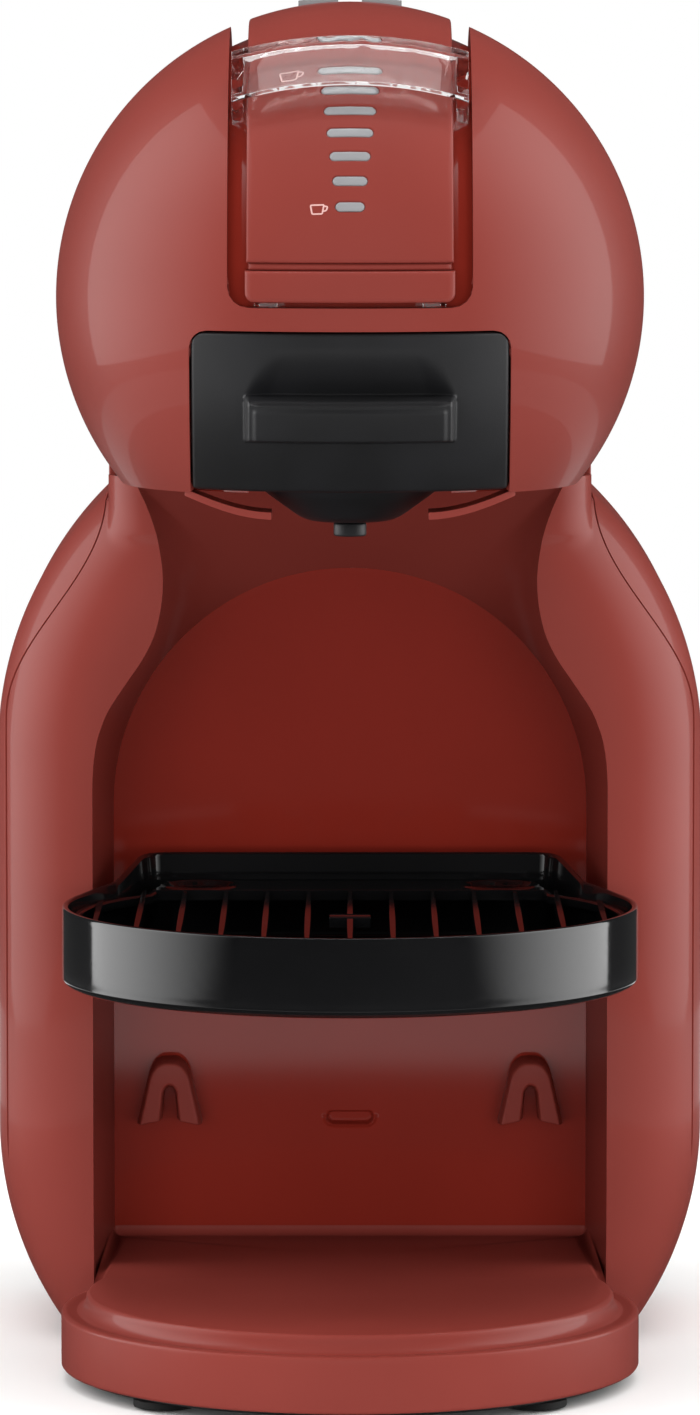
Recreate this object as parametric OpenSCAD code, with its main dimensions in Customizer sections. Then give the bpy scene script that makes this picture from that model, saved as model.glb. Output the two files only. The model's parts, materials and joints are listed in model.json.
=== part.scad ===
// Pod coffee machine: ball head, stadium body with a cup niche, hanging drip tray, rear tank.
// Millimetres. +X is to the right, the front faces -Y, +Z is up, the feet stand on z = 0.

/* [Body] */
// Radius of the body's round ends, half of its width
body_r = 80; // [66:1:96]
// Height of the centre of the lower round end
body_low_z = 48.5; // [42:0.5:58]
// Height of the centre of the upper round end
body_high_z = 134.2; // [120:0.2:150]
// Wall thickness of the red shells
shell_wall = 2.4; // [1.8:0.1:3]
// Half width of the hood and the neck behind the head
hood_half = 54.5; // [50:0.5:56]
// Half width of the niche at its back wall
niche_half = 54.4; // [45:0.1:56]
// Height of the centre of the niche's arch
niche_arch_z = 119; // [100:1:122]

/* [Head] */
// Outer radius of the ball head
head_r = 65; // [62:1:68]
// Height of the ball's centre
head_z = 238; // [236:1:250]
// Half width of the control band
band_half = 22.2; // [20:0.2:24]
// Gap between the band and the wall of its groove
groove_gap = 4.1; // [3.6:0.1:5]
// Depth of the groove round the band
groove_depth = 4; // [3.5:0.1:5]

/* [Pod drawer] */
// Half width of the drawer's face
drawer_half = 34.2; // [30:0.2:36]
// Height of the face's lower edge
drawer_low_z = 199; // [197.6:0.1:200]
// Height of the face
drawer_h = 33.6; // [30:0.1:33.6]
// Radius of the pod seat
pod_r = 23; // [20:0.2:24.5]
// Running clearance round the drawer
drawer_gap = 0.5; // [0.3:0.1:0.8]

/* [Base and tray] */
// Radius of the base
base_r = 63.9; // [58:0.1:64.5]
// Height of the raised deck
deck_z = 18.8; // [17.5:0.1:22]
// Radius of the drip tray
tray_r = 63.5; // [56:0.1:64.5]
// Height of the tray's underside
tray_z = 87.5; // [76:0.5:95]
// Height of the tray
tray_h = 17.5; // [14.6:0.5:21]
// Number of bars in the grid
grid_bars = 13; // [9:2:15]

/* [Water tank] */
// Half width of the tank
tank_half = 55; // [46:1:55]
// Height of the tank without its lid
tank_h = 229.7; // [190:0.1:235]
// Wall thickness of the tank
tank_wall = 2; // [1.5:0.1:3]

/* [Fits] */
// Radius of the handle's axle
axle_r = 3; // [2.5:0.1:3.2]
// Running clearance of shafts in their bores
run_gap = 0.06; // [0.03:0.01:0.1]
// Gap between shells that meet
seam_gap = 0.2; // [0.1:0.05:0.3]

/* [Hidden] */

$fn = 48;
far = 400;
foot_h = 1.8;
floor_z = 3.2;
front_y = -18;
rear_y = 62;
seam_y = -4;
niche_y = 25;
front_round = 24;
rear_round = 14;
neck_low_z = 184;
neck_top_z = 196.8;
neck_niche_half = 42;
neck_niche_z = 179;
neck_round = 12;
head_y = -35;
head_back_y = -0.3;
head_floor_z = 197;
head_floor_t = 1.6;
groove_half = band_half + groove_gap;
groove_low_z = head_z;
groove_r = head_r - groove_depth;
groove_wall = 2;
band_low_z = head_z + 9.7;
trim_low_z = head_z + 8;
lip_low_z = head_z + 1.2;
bow_angle = 49;
arm_in = band_half + 0.7;
arm_out = groove_half - 0.8;
pod_y = -60;
drawer_top_z = drawer_low_z + drawer_h;
guide_top_z = drawer_top_z + 0.7;
slab_z = 222;
seat_z = slab_z + 4.6;
face_back_r = groove_r - 0.1;
grip_half = 22.5;
grip_low_z = drawer_low_z + 10;
grip_h = 10;
grip_reach = 9;
bowl_slot = 21.5;
base_y = -53.5;
tray_y = -53.5;
hook_top_z = 102;
grid_z = tray_z + 13;
tank_y = 64;
tank_back_y = 117.4;
tank_round = 60;
dock_top_z = 20;
tank_z = dock_top_z + 0.3;
tank_top_z = tank_z + tank_h;
lid_y = tank_y + 3.5;
lid_z = tank_top_z + 4;
valve_y = 88;
spout_r = 5.6;
button_x = 62;
button_z = 150;
button_r = 5;
gland_x = -62;
gland_z = 30;
pump_x = -28;
inner_y = 45;
tube_z = 8.4;
wheel_r = 11.6;
wheel_angle = 113;
wheel_y = head_y - (head_r + 1 - wheel_r) * cos(wheel_angle);
wheel_z = head_z + (head_r + 1 - wheel_r) * sin(wheel_angle);
red = [0.55, 0.24, 0.2];
dark = [0.12, 0.12, 0.12];
steel = [0.75, 0.76, 0.78];
clear = [0.85, 0.9, 0.93, 0.4];
grey = [0.7, 0.7, 0.7];

// Points of an arc from angle a to angle b
function arc(x, y, r, a, b, n) =
    [for (i = [0:n]) [x + r * cos(a + (b - a) * i / n), y + r * sin(a + (b - a) * i / n)]];

// Half width of the front shell at height z: an S from the neck out to the wings
function seam_x(z) =
    let (t = max(0, min(1, (neck_top_z - 5 - z) / 50)))
    (hood_half + body_r - 2.2 - 0.6) / 2 + 0.6 - (body_r - 2.2 - hood_half - 0.6) / 2 * cos(180 * t);

// Half section of the body in the X-Y plane, drawn in by d
function body_section(d) = concat(
    [[0, front_y + d]],
    arc(body_r - front_round, front_y + front_round, front_round - d, -90, 0, 10),
    arc(body_r - rear_round, rear_y - rear_round, rear_round - d, 0, 90, 6),
    [[0, rear_y - d]]
);

module box(x0, x1, y0, y1, z0, z1) {
    translate([x0, y0, z0]) cube([x1 - x0, y1 - y0, z1 - z0]);
}

module wide_box(half, y0, y1, z0, z1) {
    box(-half, half, y0, y1, z0, z1);
}

module both_sides() {
    children();
    mirror([1, 0, 0]) children();
}

// Turns a shape drawn upright about Z so that its axis runs towards +Y
module along_y(x, y, z) {
    translate([x, y, z]) rotate([-90, 0, 0]) children();
}

module along_x(x, y, z) {
    translate([x, y, z]) rotate([0, 90, 0]) children();
}

module ring(r_out, r_in, h) {
    difference() {
        cylinder(r = r_out, h = h);
        translate([0, 0, -1]) cylinder(r = r_in, h = h + 2);
    }
}

// Plate in the X-Z plane with rounded corners, from y0 to y1
module round_plate(half, z0, z1, r, y0, y1) {
    union() {
        wide_box(half - r, y0, y1, z0, z1);
        wide_box(half, y0, y1, z0 + r, z1 - r);
        both_sides() {
            along_y(half - r, y0, z0 + r) cylinder(r = r, h = y1 - y0);
            along_y(half - r, y0, z1 - r) cylinder(r = r, h = y1 - y0);
        }
    }
}

// Body with round ends and rounded front and rear edges, drawn in by d
module body_solid(d) {
    half = body_section(d);
    left = [for (i = [len(half) - 2:-1:1]) [-half[i][0], half[i][1]]];
    translate([0, 0, body_high_z]) rotate([-90, 0, 0]) rotate([0, 0, 180])
        rotate_extrude(angle = 180, $fn = 96) polygon(half);
    translate([0, 0, body_low_z]) rotate([-90, 0, 0])
        rotate_extrude(angle = 180, $fn = 96) polygon(half);
    translate([0, 0, body_low_z])
        linear_extrude(height = body_high_z - body_low_z) polygon(concat(half, left));
}

// Everything inside the front shell's side seam, widened by gap
module seam_column(gap) {
    steps = 14;
    edge = [for (i = [0:steps]) let (z = neck_top_z - 5 - 50 * i / steps) [seam_x(z) + gap, z]];
    outline = concat(
        [[hood_half + gap + 0.4, neck_top_z + 30]], edge, [[seam_x(100) + gap, -10]]
    );
    left = [for (i = [len(outline) - 1:-1:0]) [-outline[i][0], outline[i][1]]];
    along_y(0, front_y - 10, 0) mirror([0, 1, 0])
        linear_extrude(height = seam_y - front_y + 10 + gap) polygon(concat(outline, left));
}

module niche_arch(half, y, grow) {
    along_y(0, y, niche_arch_z) cylinder(r = half + grow, h = 0.1, $fn = 64);
}

// One arch-topped slice of the niche
module niche_slice(half, y, low_z, grow) {
    niche_arch(half, y, grow);
    wide_box(half + grow, y, y + 0.1, low_z + 7, niche_arch_z);
    wide_box(half + grow - 7, y, y + 0.1, low_z, niche_arch_z);
}

// Space of the cup niche, widened by grow
module niche_space(grow) {
    front = front_y - 14;
    hull() {
        niche_slice(niche_half, niche_y + grow, deck_z - 5 - grow, grow);
        niche_slice(niche_half + 4.6, front, deck_z - 5 - grow, grow);
    }
    hull() {
        niche_arch(niche_half, niche_y + grow, grow);
        wide_box(neck_niche_half + grow, front, front + 0.1, 160, neck_niche_z);
    }
    hull() {
        niche_arch(niche_half, niche_y + grow, grow);
        wide_box(neck_niche_half + grow, front, front + 0.1, neck_niche_z - 1, neck_niche_z);
        wide_box(neck_niche_half + 8 + grow, front, front + 0.1, head_floor_z, head_floor_z + 1 + grow);
    }
}

module base_outline(grow, z0, z1) {
    translate([0, base_y, z0]) cylinder(r = base_r + grow, h = z1 - z0, $fn = 96);
}

module deck_outline(grow, z0, z1) {
    translate([0, base_y, z0]) cylinder(r = base_r - 4.1 + grow, h = z1 - z0, $fn = 96);
    wide_box(niche_half - 0.5 + grow, base_y, niche_y - seam_gap + grow, z0, z1);
}

module base_housing() {
    color(red) difference() {
        union() {
            base_outline(0, floor_z, deck_z - 3.8);
            deck_outline(0, deck_z - 4, deck_z);
        }
        base_outline(-shell_wall, floor_z - 1, deck_z - 3.8 - shell_wall);
        deck_outline(-shell_wall, floor_z - 1, deck_z - shell_wall);
    }
}

module base_plate() {
    color(dark) difference() {
        union() {
            base_outline(-2, foot_h, floor_z - 0.1);
            wide_box(body_r - 21, base_y, rear_y - 2, foot_h, floor_z - 0.1);
            wide_box(40, rear_y - 3, tank_back_y - 14, foot_h, floor_z - 0.1);
        }
        for (x = [-30, 0, 30]) wide_vent(x);
    }
}

module wide_vent(x) {
    box(x - 8, x + 8, 20, 23, foot_h - 1, floor_z + 1);
    box(x - 8, x + 8, 30, 33, foot_h - 1, floor_z + 1);
}

module feet() {
    color(dark) {
        both_sides() translate([40, base_y - 38.5, 0]) cylinder(r = 7, h = foot_h);
        both_sides() translate([46, rear_y - 14, 0]) cylinder(r = 7, h = foot_h);
        both_sides() translate([26, tank_back_y - 25, 0]) cylinder(r = 7, h = foot_h);
    }
}

// Short neck between the wings and the ball head, drawn in by d
module neck_block(d, z0, z1) {
    half = concat(
        [[0, front_y + 1 + d]],
        arc(hood_half - neck_round, front_y + 1 + neck_round, neck_round - d, -90, 0, 6),
        [[hood_half - d, head_back_y - seam_gap], [0, head_back_y - seam_gap]]
    );
    translate([0, 0, z0]) linear_extrude(height = z1 - z0) union() {
        polygon(half);
        mirror([1, 0]) polygon(half);
    }
}

module front_shell() {
    color(red) difference() {
        intersection() {
            union() {
                difference() {
                    intersection() {
                        body_solid(0);
                        seam_column(-seam_gap / 2);
                    }
                    body_solid(shell_wall);
                }
                difference() {
                    neck_block(0, neck_low_z, neck_top_z);
                    neck_block(shell_wall, 0, neck_top_z - shell_wall);
                }
                intersection() {
                    body_solid(0.2);
                    niche_space(shell_wall);
                }
            }
            wide_box(far, front_y - 5, niche_y + 6, floor_z, neck_top_z);
        }
        niche_space(0);
        base_outline(seam_gap, 0, deck_z - 3.8 + seam_gap);
        deck_outline(seam_gap, 0, deck_z + seam_gap);
        wide_box(bowl_slot, front_y - 5, head_back_y, neck_top_z - 8, neck_top_z + 1);
    }
}

// Hood behind the ball head, drawn in by d
module hood_solid(d) {
    half = hood_half - d;
    round_r = 10;
    outline = concat(
        [[0, head_back_y + seam_gap - 30]], [[half, head_back_y + seam_gap - 30]],
        arc(half - round_r + d, rear_y - round_r, round_r - d, 0, 90, 6), [[0, rear_y - d]]
    );
    left = [for (i = [len(outline) - 2:-1:1]) [-outline[i][0], outline[i][1]]];
    translate([0, 0, head_z]) rotate([-90, 0, 0]) rotate([0, 0, 180])
        rotate_extrude(angle = 180, $fn = 96) polygon(outline);
    translate([0, 0, 150]) linear_extrude(height = head_z - 150) polygon(concat(outline, left));
}

module rear_shell() {
    color(red) difference() {
        union() {
            difference() {
                body_solid(0);
                seam_column(seam_gap / 2);
            }
            intersection() {
                hood_solid(0);
                wide_box(far, head_back_y + seam_gap, far, 150, far);
            }
        }
        body_solid(shell_wall);
        difference() {
            hood_solid(shell_wall);
            wide_box(groove_half + 3, head_back_y, head_back_y + seam_gap + shell_wall, head_z + 42, far);
        }
        niche_space(shell_wall + 0.3);
        wide_box(hood_half + 1, front_y - 5, head_back_y + seam_gap, neck_low_z - 20, far);
        wide_box(far, front_y - 5, rear_y + 5, -far, floor_z);
        base_outline(seam_gap, 0, deck_z - 3.8 + seam_gap);
        along_y(button_x, rear_y - 6, button_z) cylinder(r = button_r + 1.4, h = 12);
        along_y(gland_x, rear_y - 6, gland_z) cylinder(r = 5.2, h = 12);
        along_y(0, rear_y - 6, tube_z) cylinder(r = 3, h = 12);
        both_sides() for (z = screw_z) along_y(60, rear_y - 2, z) cylinder(r = 3.2, h = 4);
        both_sides() for (z = screw_z) along_y(60, rear_y - 6, z) cylinder(r = 1.7, h = 8);
    }
}

screw_z = [60, 128];

// Outside of a ball about the head's centre
module head_ball(r) {
    translate([0, head_y, head_z]) sphere(r = r, $fn = 192);
}

// Ring sector about the head's X axis, between two angles above the front horizon
module head_sector(half, r0, r1, a0, a1) {
    translate([-half, head_y, head_z]) rotate([0, 90, 0]) rotate([0, 0, -90 - a1])
        rotate_extrude(angle = a1 - a0, $fn = 96) translate([r0, 0]) square([r1 - r0, 2 * half]);
}

module groove_block(half, z, r) {
    round_plate(half, z, far, r, head_y - head_r - 5, head_back_y);
}

module head_cavity(r) {
    intersection() {
        head_ball(r);
        wide_box(far, -far, far, head_floor_z + head_floor_t, far);
    }
}

module head_shell() {
    color(red) difference() {
        union() {
            difference() {
                intersection() {
                    head_ball(head_r);
                    wide_box(far, -far, head_back_y, head_floor_z, far);
                }
                difference() {
                    head_cavity(head_r - shell_wall);
                    groove_block(groove_half + groove_wall, groove_low_z - groove_wall, 4.5);
                }
            }
            chin_rim();
        }
        difference() {
            groove_block(groove_half, groove_low_z, 4.5);
            head_ball(groove_r);
        }
        head_cavity(groove_r - groove_wall);
        round_plate(drawer_half + drawer_gap, drawer_low_z - 0.4, drawer_top_z + 0.4, 3.8, -far, head_y - 20);
        both_sides() arm_slot();
        wheel_window();
        wide_box(bowl_slot, -far, pod_y + 24, head_floor_z - 5, drawer_low_z + 1);
    }
}

module arm_slot() {
    translate([(arm_in + arm_out) / 2, 0, 0])
        head_sector((arm_out - arm_in) / 2 + 0.35, groove_r - 12, groove_r + 4, 42, 116);
}

module wheel_window() {
    along_x(-4.9, wheel_y, wheel_z) cylinder(r = wheel_r + 0.5, h = 9.8);
}

module chin_rim() {
    intersection() {
        translate([0, -52, head_floor_z - 2.5]) ring(33.5, 31.5, 2.7);
        union() {
            box(-far, -19.8, -far, -52, 0, far);
            box(19.8, far, -far, -52, 0, far);
        }
    }
}

// Part of the band between two heights, r_in and r_out from the head's centre
module band_piece(half, z0, z1, r, r_in, r_out) {
    intersection() {
        difference() {
            head_ball(r_out);
            head_ball(r_in);
        }
        round_plate(half, z0, z1, r, head_y - head_r - 5, head_back_y - 0.3);
    }
}

bar_first = 19.4;
bar_step = 5.08;
bar_count = 7;

// The light bars' blocks, grown by grow
module bar_blocks(grow, r0, r1) {
    for (i = [0:bar_count - 1]) {
        tall = 1.05 + 0.02 * i;
        wide = 3.15 + 0.62 * i;
        translate([0, head_y, head_z]) rotate([-(bar_first + bar_step * i), 0, 0])
            translate([0, -r1, 0]) rotate([-90, 0, 0]) bar_slot(wide + grow, tall + grow, r1 - r0);
    }
}

// Slot with round ends, half lengths a and b
module bar_slot(a, b, h) {
    translate([-(a - b), -b, 0]) cube([2 * (a - b), 2 * b, h]);
    both_sides() translate([a - b, 0, 0]) cylinder(r = b, h = h);
}

key_angle = 97;
key_half = 7;

// Block of one key, on the right-hand side
module key_block(grow, r0, r1) {
    translate([0, head_y, head_z]) rotate([90 - key_angle, 0, 0])
        box(2.6 - grow, 11.4 + grow, -key_half - grow, key_half + grow, r0, r1);
}

module control_panel() {
    color(red) difference() {
        band_piece(band_half, band_low_z, far, 0.6, groove_r + 0.2, head_r);
        bar_blocks(0.1, head_r - 3.1, head_r + 3);
        both_sides() key_block(0.25, head_r - 9, head_r + 5);
        wheel_window();
    }
}

module panel_trim() {
    color(red) band_piece(band_half - 0.5, trim_low_z + 0.1, band_low_z - 0.1, 0.4, groove_r + 0.2, head_r - 0.8);
}

module panel_lip() {
    color(red) band_piece(band_half + 0.3, lip_low_z, trim_low_z, 2, groove_r + 0.2, head_r + 0.6);
}

module lip_clips() {
    color(clear) both_sides() intersection() {
        difference() {
            head_ball(head_r - 0.8);
            head_ball(groove_r + 0.3);
        }
        box(15.5, 20.5, -far, head_y, groove_low_z + 0.15, lip_low_z - 0.05);
    }
}

module level_bars() {
    color(grey) intersection() {
        bar_blocks(0, head_r - 3, head_r + 2);
        head_ball(head_r + 0.1);
    }
}

module key_solid() {
    intersection() {
        key_block(0, head_r - 2.7, head_r + 4);
        head_ball(head_r + 1.2);
    }
}

module hot_key() {
    color(grey) key_solid();
}

module cold_key() {
    color(grey) mirror([1, 0, 0]) key_solid();
}

module key_switches() {
    color(dark) both_sides() key_inner_box();
}

module key_inner_box() {
    translate([0, head_y, head_z]) rotate([90 - key_angle, 0, 0])
        box(5, 10.5, -4, 4, groove_r - groove_wall - 5, groove_r - groove_wall - 1.3);
}

module selector_wheel() {
    color(dark) difference() {
        along_x(-4.3, wheel_y, wheel_z) cylinder(r = wheel_r, h = 8.6);
        along_x(-5, wheel_y, wheel_z) cylinder(r = 1.5 + run_gap, h = 10);
        for (i = [0:19]) translate([0, wheel_y, wheel_z]) rotate([i * 18, 0, 0])
            along_x(-5, 0, wheel_r + 0.4) cylinder(r = 0.9, h = 10, $fn = 16);
    }
}

module selector_axle() {
    color(steel) along_x(-8, wheel_y, wheel_z) cylinder(r = 1.5, h = 16);
}

module selector_bracket() {
    color(dark) both_sides() difference() {
        box(5.4, 7.6, wheel_y - 3.5, wheel_y + 3.5, wheel_z - 12, wheel_z + 2.2);
        along_x(5, wheel_y, wheel_z) cylinder(r = 1.5, h = 4);
    }
}

// Section of the handle's bow: a front plate and a top plate, radius outwards and length along
bow_section = [
    [head_r + 1.6, -7.2], [head_r + 3.6, -7.6], [head_r + 8, -4.3], [head_r + 4.6, 6.8],
    [head_r + 2.8, 6], [head_r + 5.4, -3.5]
];

module bow_frame() {
    translate([0, head_y, head_z]) rotate([90 - bow_angle, 0, 0]) children();
}

module locking_handle() {
    color(clear) bow_frame() {
        difference() {
            union() {
                intersection() {
                    rotate([90, 0, 0]) rotate([0, 0, 62])
                        rotate_extrude(angle = 56, $fn = 128) polygon([for (p = bow_section) [p[0], p[1]]]);
                    wide_box(arm_out, -far, far, 0, far);
                }
                both_sides() handle_arm();
            }
            along_x(-40, 0, 0) cylinder(r = axle_r, h = 80);
        }
    }
}

module handle_arm() {
    along_x(arm_in, 0, 0) cylinder(r = 4.6, h = arm_out - arm_in);
    box(arm_in, arm_out, -4.6, 4.4, 0, head_r + 3.2);
}

module handle_axle() {
    color(steel) along_x(-arm_out - 3.6, head_y, head_z) cylinder(r = axle_r, h = 2 * arm_out + 7.2);
}

module handle_cams() {
    color(dark) both_sides() difference() {
        along_x(8, head_y - 1.2, head_z) cylinder(r = 4.9, h = 6);
        along_x(7, head_y, head_z) cylinder(r = axle_r, h = 8);
    }
}

module drawer_guide() {
    ear_in = arm_out + 0.6;
    color(dark) intersection() {
        difference() {
            union() {
                wide_box(drawer_half + 2.9, pod_y - 16, head_y + 10, guide_top_z, guide_top_z + 1.4);
                both_sides() box(drawer_half + 0.4, drawer_half + 2.9, pod_y - 16, head_y + 10, slab_z - 2.4, guide_top_z + 1);
                both_sides() box(27.6, drawer_half + 2.9, pod_y - 16, head_y + 10, slab_z - 2.4, slab_z - 0.3);
                both_sides() box(ear_in, ear_in + 2.2, head_y - 8, head_y + 8, guide_top_z, head_z + 8);
            }
            translate([0, pod_y, guide_top_z - 1]) cylinder(r = 18.4, h = 4);
            wide_box(arm_out + 0.5, head_y - 7, head_y + 6, guide_top_z - 1, guide_top_z + 3);
            along_x(-far / 2, head_y, head_z) cylinder(r = axle_r + run_gap, h = far);
        }
        head_ball(groove_r - groove_wall - 0.6);
    }
}

carriage_z = guide_top_z + 0.6;
needle_z = slab_z + 5.2;

module injector_carriage() {
    color(dark) difference() {
        union() {
            translate([0, pod_y, carriage_z]) cylinder(r = 17.4, h = 5);
            translate([0, pod_y, carriage_z + 5]) cylinder(r = 7, h = 5);
        }
        translate([0, pod_y, carriage_z - 1]) cylinder(r = 1, h = 12);
    }
}

module piercing_needle() {
    color(steel) {
        translate([0, pod_y, needle_z + 3]) cylinder(r = 1, h = carriage_z + 6 - needle_z);
        translate([0, pod_y, needle_z]) cylinder(r1 = 0.1, r2 = 1, h = 3);
    }
}

module injector_seal() {
    color(dark) translate([0, pod_y, guide_top_z - 0.3]) ring(12, 8, carriage_z - guide_top_z + 0.3);
}

// Face of the drawer, a slice of the ball, with its grip bar
module drawer_face() {
    color(dark) union() {
        intersection() {
            difference() {
                head_ball(head_r - 0.1);
                head_ball(face_back_r);
            }
            round_plate(drawer_half, drawer_low_z, drawer_top_z, 3.5, -far, head_y - 20);
        }
        intersection() {
            difference() {
                head_ball(head_r + grip_reach);
                head_ball(face_back_r + 1);
            }
            round_plate(grip_half, grip_low_z, grip_low_z + grip_h, 2.5, -far, head_y - 20);
        }
    }
}

// Sliding slab with the seat that the pod drops into
module pod_drawer() {
    color(dark) difference() {
        intersection() {
            head_ball(face_back_r - 0.02);
            round_plate(drawer_half, drawer_low_z, drawer_top_z, 3.5, -far, head_y + 8);
            wide_box(far, -far, far, slab_z, far);
        }
        translate([0, pod_y, slab_z - 1]) cylinder(r = pod_r, h = far);
        translate([0, pod_y, seat_z]) cylinder(r = pod_r + 3.4, h = far);
        wide_box(1.8, pod_y, far, slab_z - 1, far);
    }
}

module pod_bowl() {
    outer = [[26, slab_z - 0.1], [25.4, 206], [19, 196.7], [9.7, 189.7]];
    inner = [[1.6, 189.7], [1.6, 191.5], [8, 191.7], [16.6, 198.2], [22.6, 206.4], [pod_r, slab_z - 0.1]];
    color(dark) translate([0, pod_y, 0])
        rotate_extrude($fn = 96) polygon(concat(outer, inner));
}

module outlet_nozzle() {
    color(dark) translate([0, pod_y, 186.7]) ring(3.6, 1.5, 2.95);
}

module tray_outline(d, z0, z1) {
    translate([0, tray_y, z0]) cylinder(r = tray_r - d, h = z1 - z0, $fn = 96);
    wide_box(47 - d, tray_y + 20, 14 - d, z0, z1);
}

module drip_tray() {
    color(dark) union() {
        difference() {
            tray_outline(0, tray_z, tray_z + tray_h);
            tray_outline(1.6, tray_z + 1.8, far);
        }
        difference() {
            tray_outline(1.5, grid_z - 2, grid_z - 0.2);
            tray_outline(4.5, grid_z - 4, grid_z + 2);
        }
        difference() {
            wide_box(47, 1.5, niche_y - 0.5, hook_top_z + 0.2, tray_z + tray_h + 3.5);
            wide_box(45.2, 0, 12.4, hook_top_z - 2, far);
        }
    }
}

module drip_grid() {
    pitch = 9.3;
    color(dark) {
        difference() {
            tray_outline(2.1, grid_z, grid_z + 2);
            tray_outline(4, grid_z - 1, grid_z + 3);
        }
        intersection() {
            tray_outline(3, grid_z, grid_z + 2.4);
            union() {
                for (i = [0:grid_bars - 1])
                    translate([(i - (grid_bars - 1) / 2) * pitch, 0, 0]) wide_box(0.8, -far, -8, grid_z + 0.2, grid_z + 2.2);
                wide_box(3, -60, -54, grid_z + 0.2, grid_z + 2.2);
            }
        }
        intersection() {
            tray_outline(3, grid_z, grid_z + 2.4);
            difference() {
                wide_box(far, -9, 20, grid_z, grid_z + 2.2);
                both_sides() translate([33, 2, grid_z + 1]) cylinder(r = 8, h = 4);
            }
        }
    }
}

// One hook: a tapered loop with an arched top and an open slot
module hook(z) {
    along_y(41.5, niche_y - 9, z) mirror([0, 1, 0]) linear_extrude(height = 8.9)
        polygon([[-7.5, 0], [-5, 12], [-2.5, 15.2], [2.5, 15.2], [5, 12], [7.5, 0], [3, 0], [1.6, 10], [-1.6, 10], [-3, 0]]);
}

module tray_hooks() {
    color(red) both_sides() {
        hook(45.4);
        hook(hook_top_z - 15.2);
    }
}

// Plan of the tank: flat at the front, round at the back, drawn in by d
module tank_plan(d, z0, z1) {
    intersection() {
        translate([0, tank_back_y - tank_round, z0]) cylinder(r = tank_round - d, h = z1 - z0, $fn = 128);
        wide_box(tank_half - d, tank_y + d, far, z0, z1);
    }
}

module tank_dock() {
    color(dark) difference() {
        tank_plan(0, floor_z, dock_top_z);
        tank_plan(shell_wall, floor_z - 1, dock_top_z - shell_wall);
        translate([0, valve_y, 0]) cylinder(r = spout_r + 0.4, h = far);
        along_y(0, tank_y - 6, tube_z) cylinder(r = 3, h = 12);
    }
}

module water_tank() {
    color(clear) difference() {
        union() {
            tank_plan(0, tank_z, tank_top_z);
            translate([0, valve_y, tank_z - 7]) cylinder(r = spout_r, h = 8);
            both_sides() box(20.6, 25, tank_y, tank_y + 6, tank_top_z - 1, lid_z + 3);
        }
        difference() {
            tank_plan(tank_wall, tank_z + tank_wall, tank_top_z + 1);
        }
        translate([0, valve_y, 0]) cylinder(r = spout_r - 1.6, h = tank_z + 5);
        along_x(-40, lid_y, lid_z) cylinder(r = 1.5, h = 80);
        both_sides() box(20, 26, tank_y + 6, tank_y + 8, tank_top_z - 2, tank_top_z + 1);
    }
}

module tank_lid() {
    color(dark) difference() {
        union() {
            intersection() {
                tank_plan(0.2, tank_top_z + 0.3, tank_top_z + 2.5);
                wide_box(far, lid_y, far, 0, far);
            }
            along_x(-20.2, lid_y, lid_z) cylinder(r = 3, h = 40.4);
            wide_box(20.2, lid_y, lid_y + 3, tank_top_z + 0.5, lid_z);
            wide_box(9, tank_back_y - 9, tank_back_y - 6, tank_top_z + 2, tank_top_z + 5);
        }
        along_x(-40, lid_y, lid_z) cylinder(r = 1.5 + run_gap, h = 80);
        both_sides() box(20.2, 25.6, tank_y - 1, lid_y + 4.2, 0, far);
    }
}

module lid_pin() {
    color(steel) along_x(-25, lid_y, lid_z) cylinder(r = 1.5, h = 50);
}

module valve_seal() {
    color(dark) translate([0, valve_y, tank_z + tank_wall]) ring(spout_r + 1, 3, 1.2);
}

module valve_poppet() {
    color(grey) {
        translate([0, valve_y, tank_z - 5]) cylinder(r = 2.6, h = tank_wall + 10);
        translate([0, valve_y, tank_z + tank_wall + 5]) cylinder(r = 6, h = 2);
    }
}

module pump_tube() {
    color(dark) translate([pump_x, inner_y, 0]) difference() {
        translate([0, 0, 42]) cylinder(r = 8.8, h = 80);
        translate([0, 0, 50]) cylinder(r = 5, h = 64);
        translate([0, 0, 40]) cylinder(r = 2, h = 90);
    }
}

module pump_coil() {
    color(steel) difference() {
        box(pump_x - 15, pump_x + 15, inner_y - 12, inner_y + 12, 60, 100);
        translate([pump_x, inner_y, 50]) cylinder(r = 8.8, h = 60);
    }
}

module pump_piston() {
    color(steel) translate([pump_x, inner_y, 64]) cylinder(r = 5 - run_gap, h = 34);
}

module pump_mounts() {
    color(dark) for (z = [46, 108]) translate([pump_x, inner_y, z]) ring(12, 8.8, 8);
}

module thermoblock() {
    color(steel) difference() {
        box(8, 48, inner_y - 12, inner_y + 11, 64, 148);
        for (x = [18, 38]) translate([x, inner_y, 60]) cylinder(r = 4, h = 100);
    }
}

module heater_rod() {
    color(dark) translate([38, inner_y, 58]) cylinder(r = 4, h = 96);
}

module thermostat() {
    color(dark) along_y(28, inner_y + 11, 110) cylinder(r = 8, h = 3);
}

module flow_meter() {
    color(dark) along_y(pump_x, inner_y - 8, 24) union() {
        difference() {
            cylinder(r = 12.5, h = 14);
            translate([0, 0, 2]) cylinder(r = 10.4, h = 10);
        }
        cylinder(r = 1.5, h = 13);
    }
}

module flow_rotor() {
    color(grey) along_y(pump_x, inner_y - 5, 24) difference() {
        union() {
            cylinder(r = 4, h = 8);
            for (i = [0:5]) rotate([0, 0, i * 60]) translate([0, -0.8, 0]) cube([9.6, 1.6, 8]);
        }
        translate([0, 0, -1]) cylinder(r = 1.5 + run_gap, h = 10);
    }
}

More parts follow.
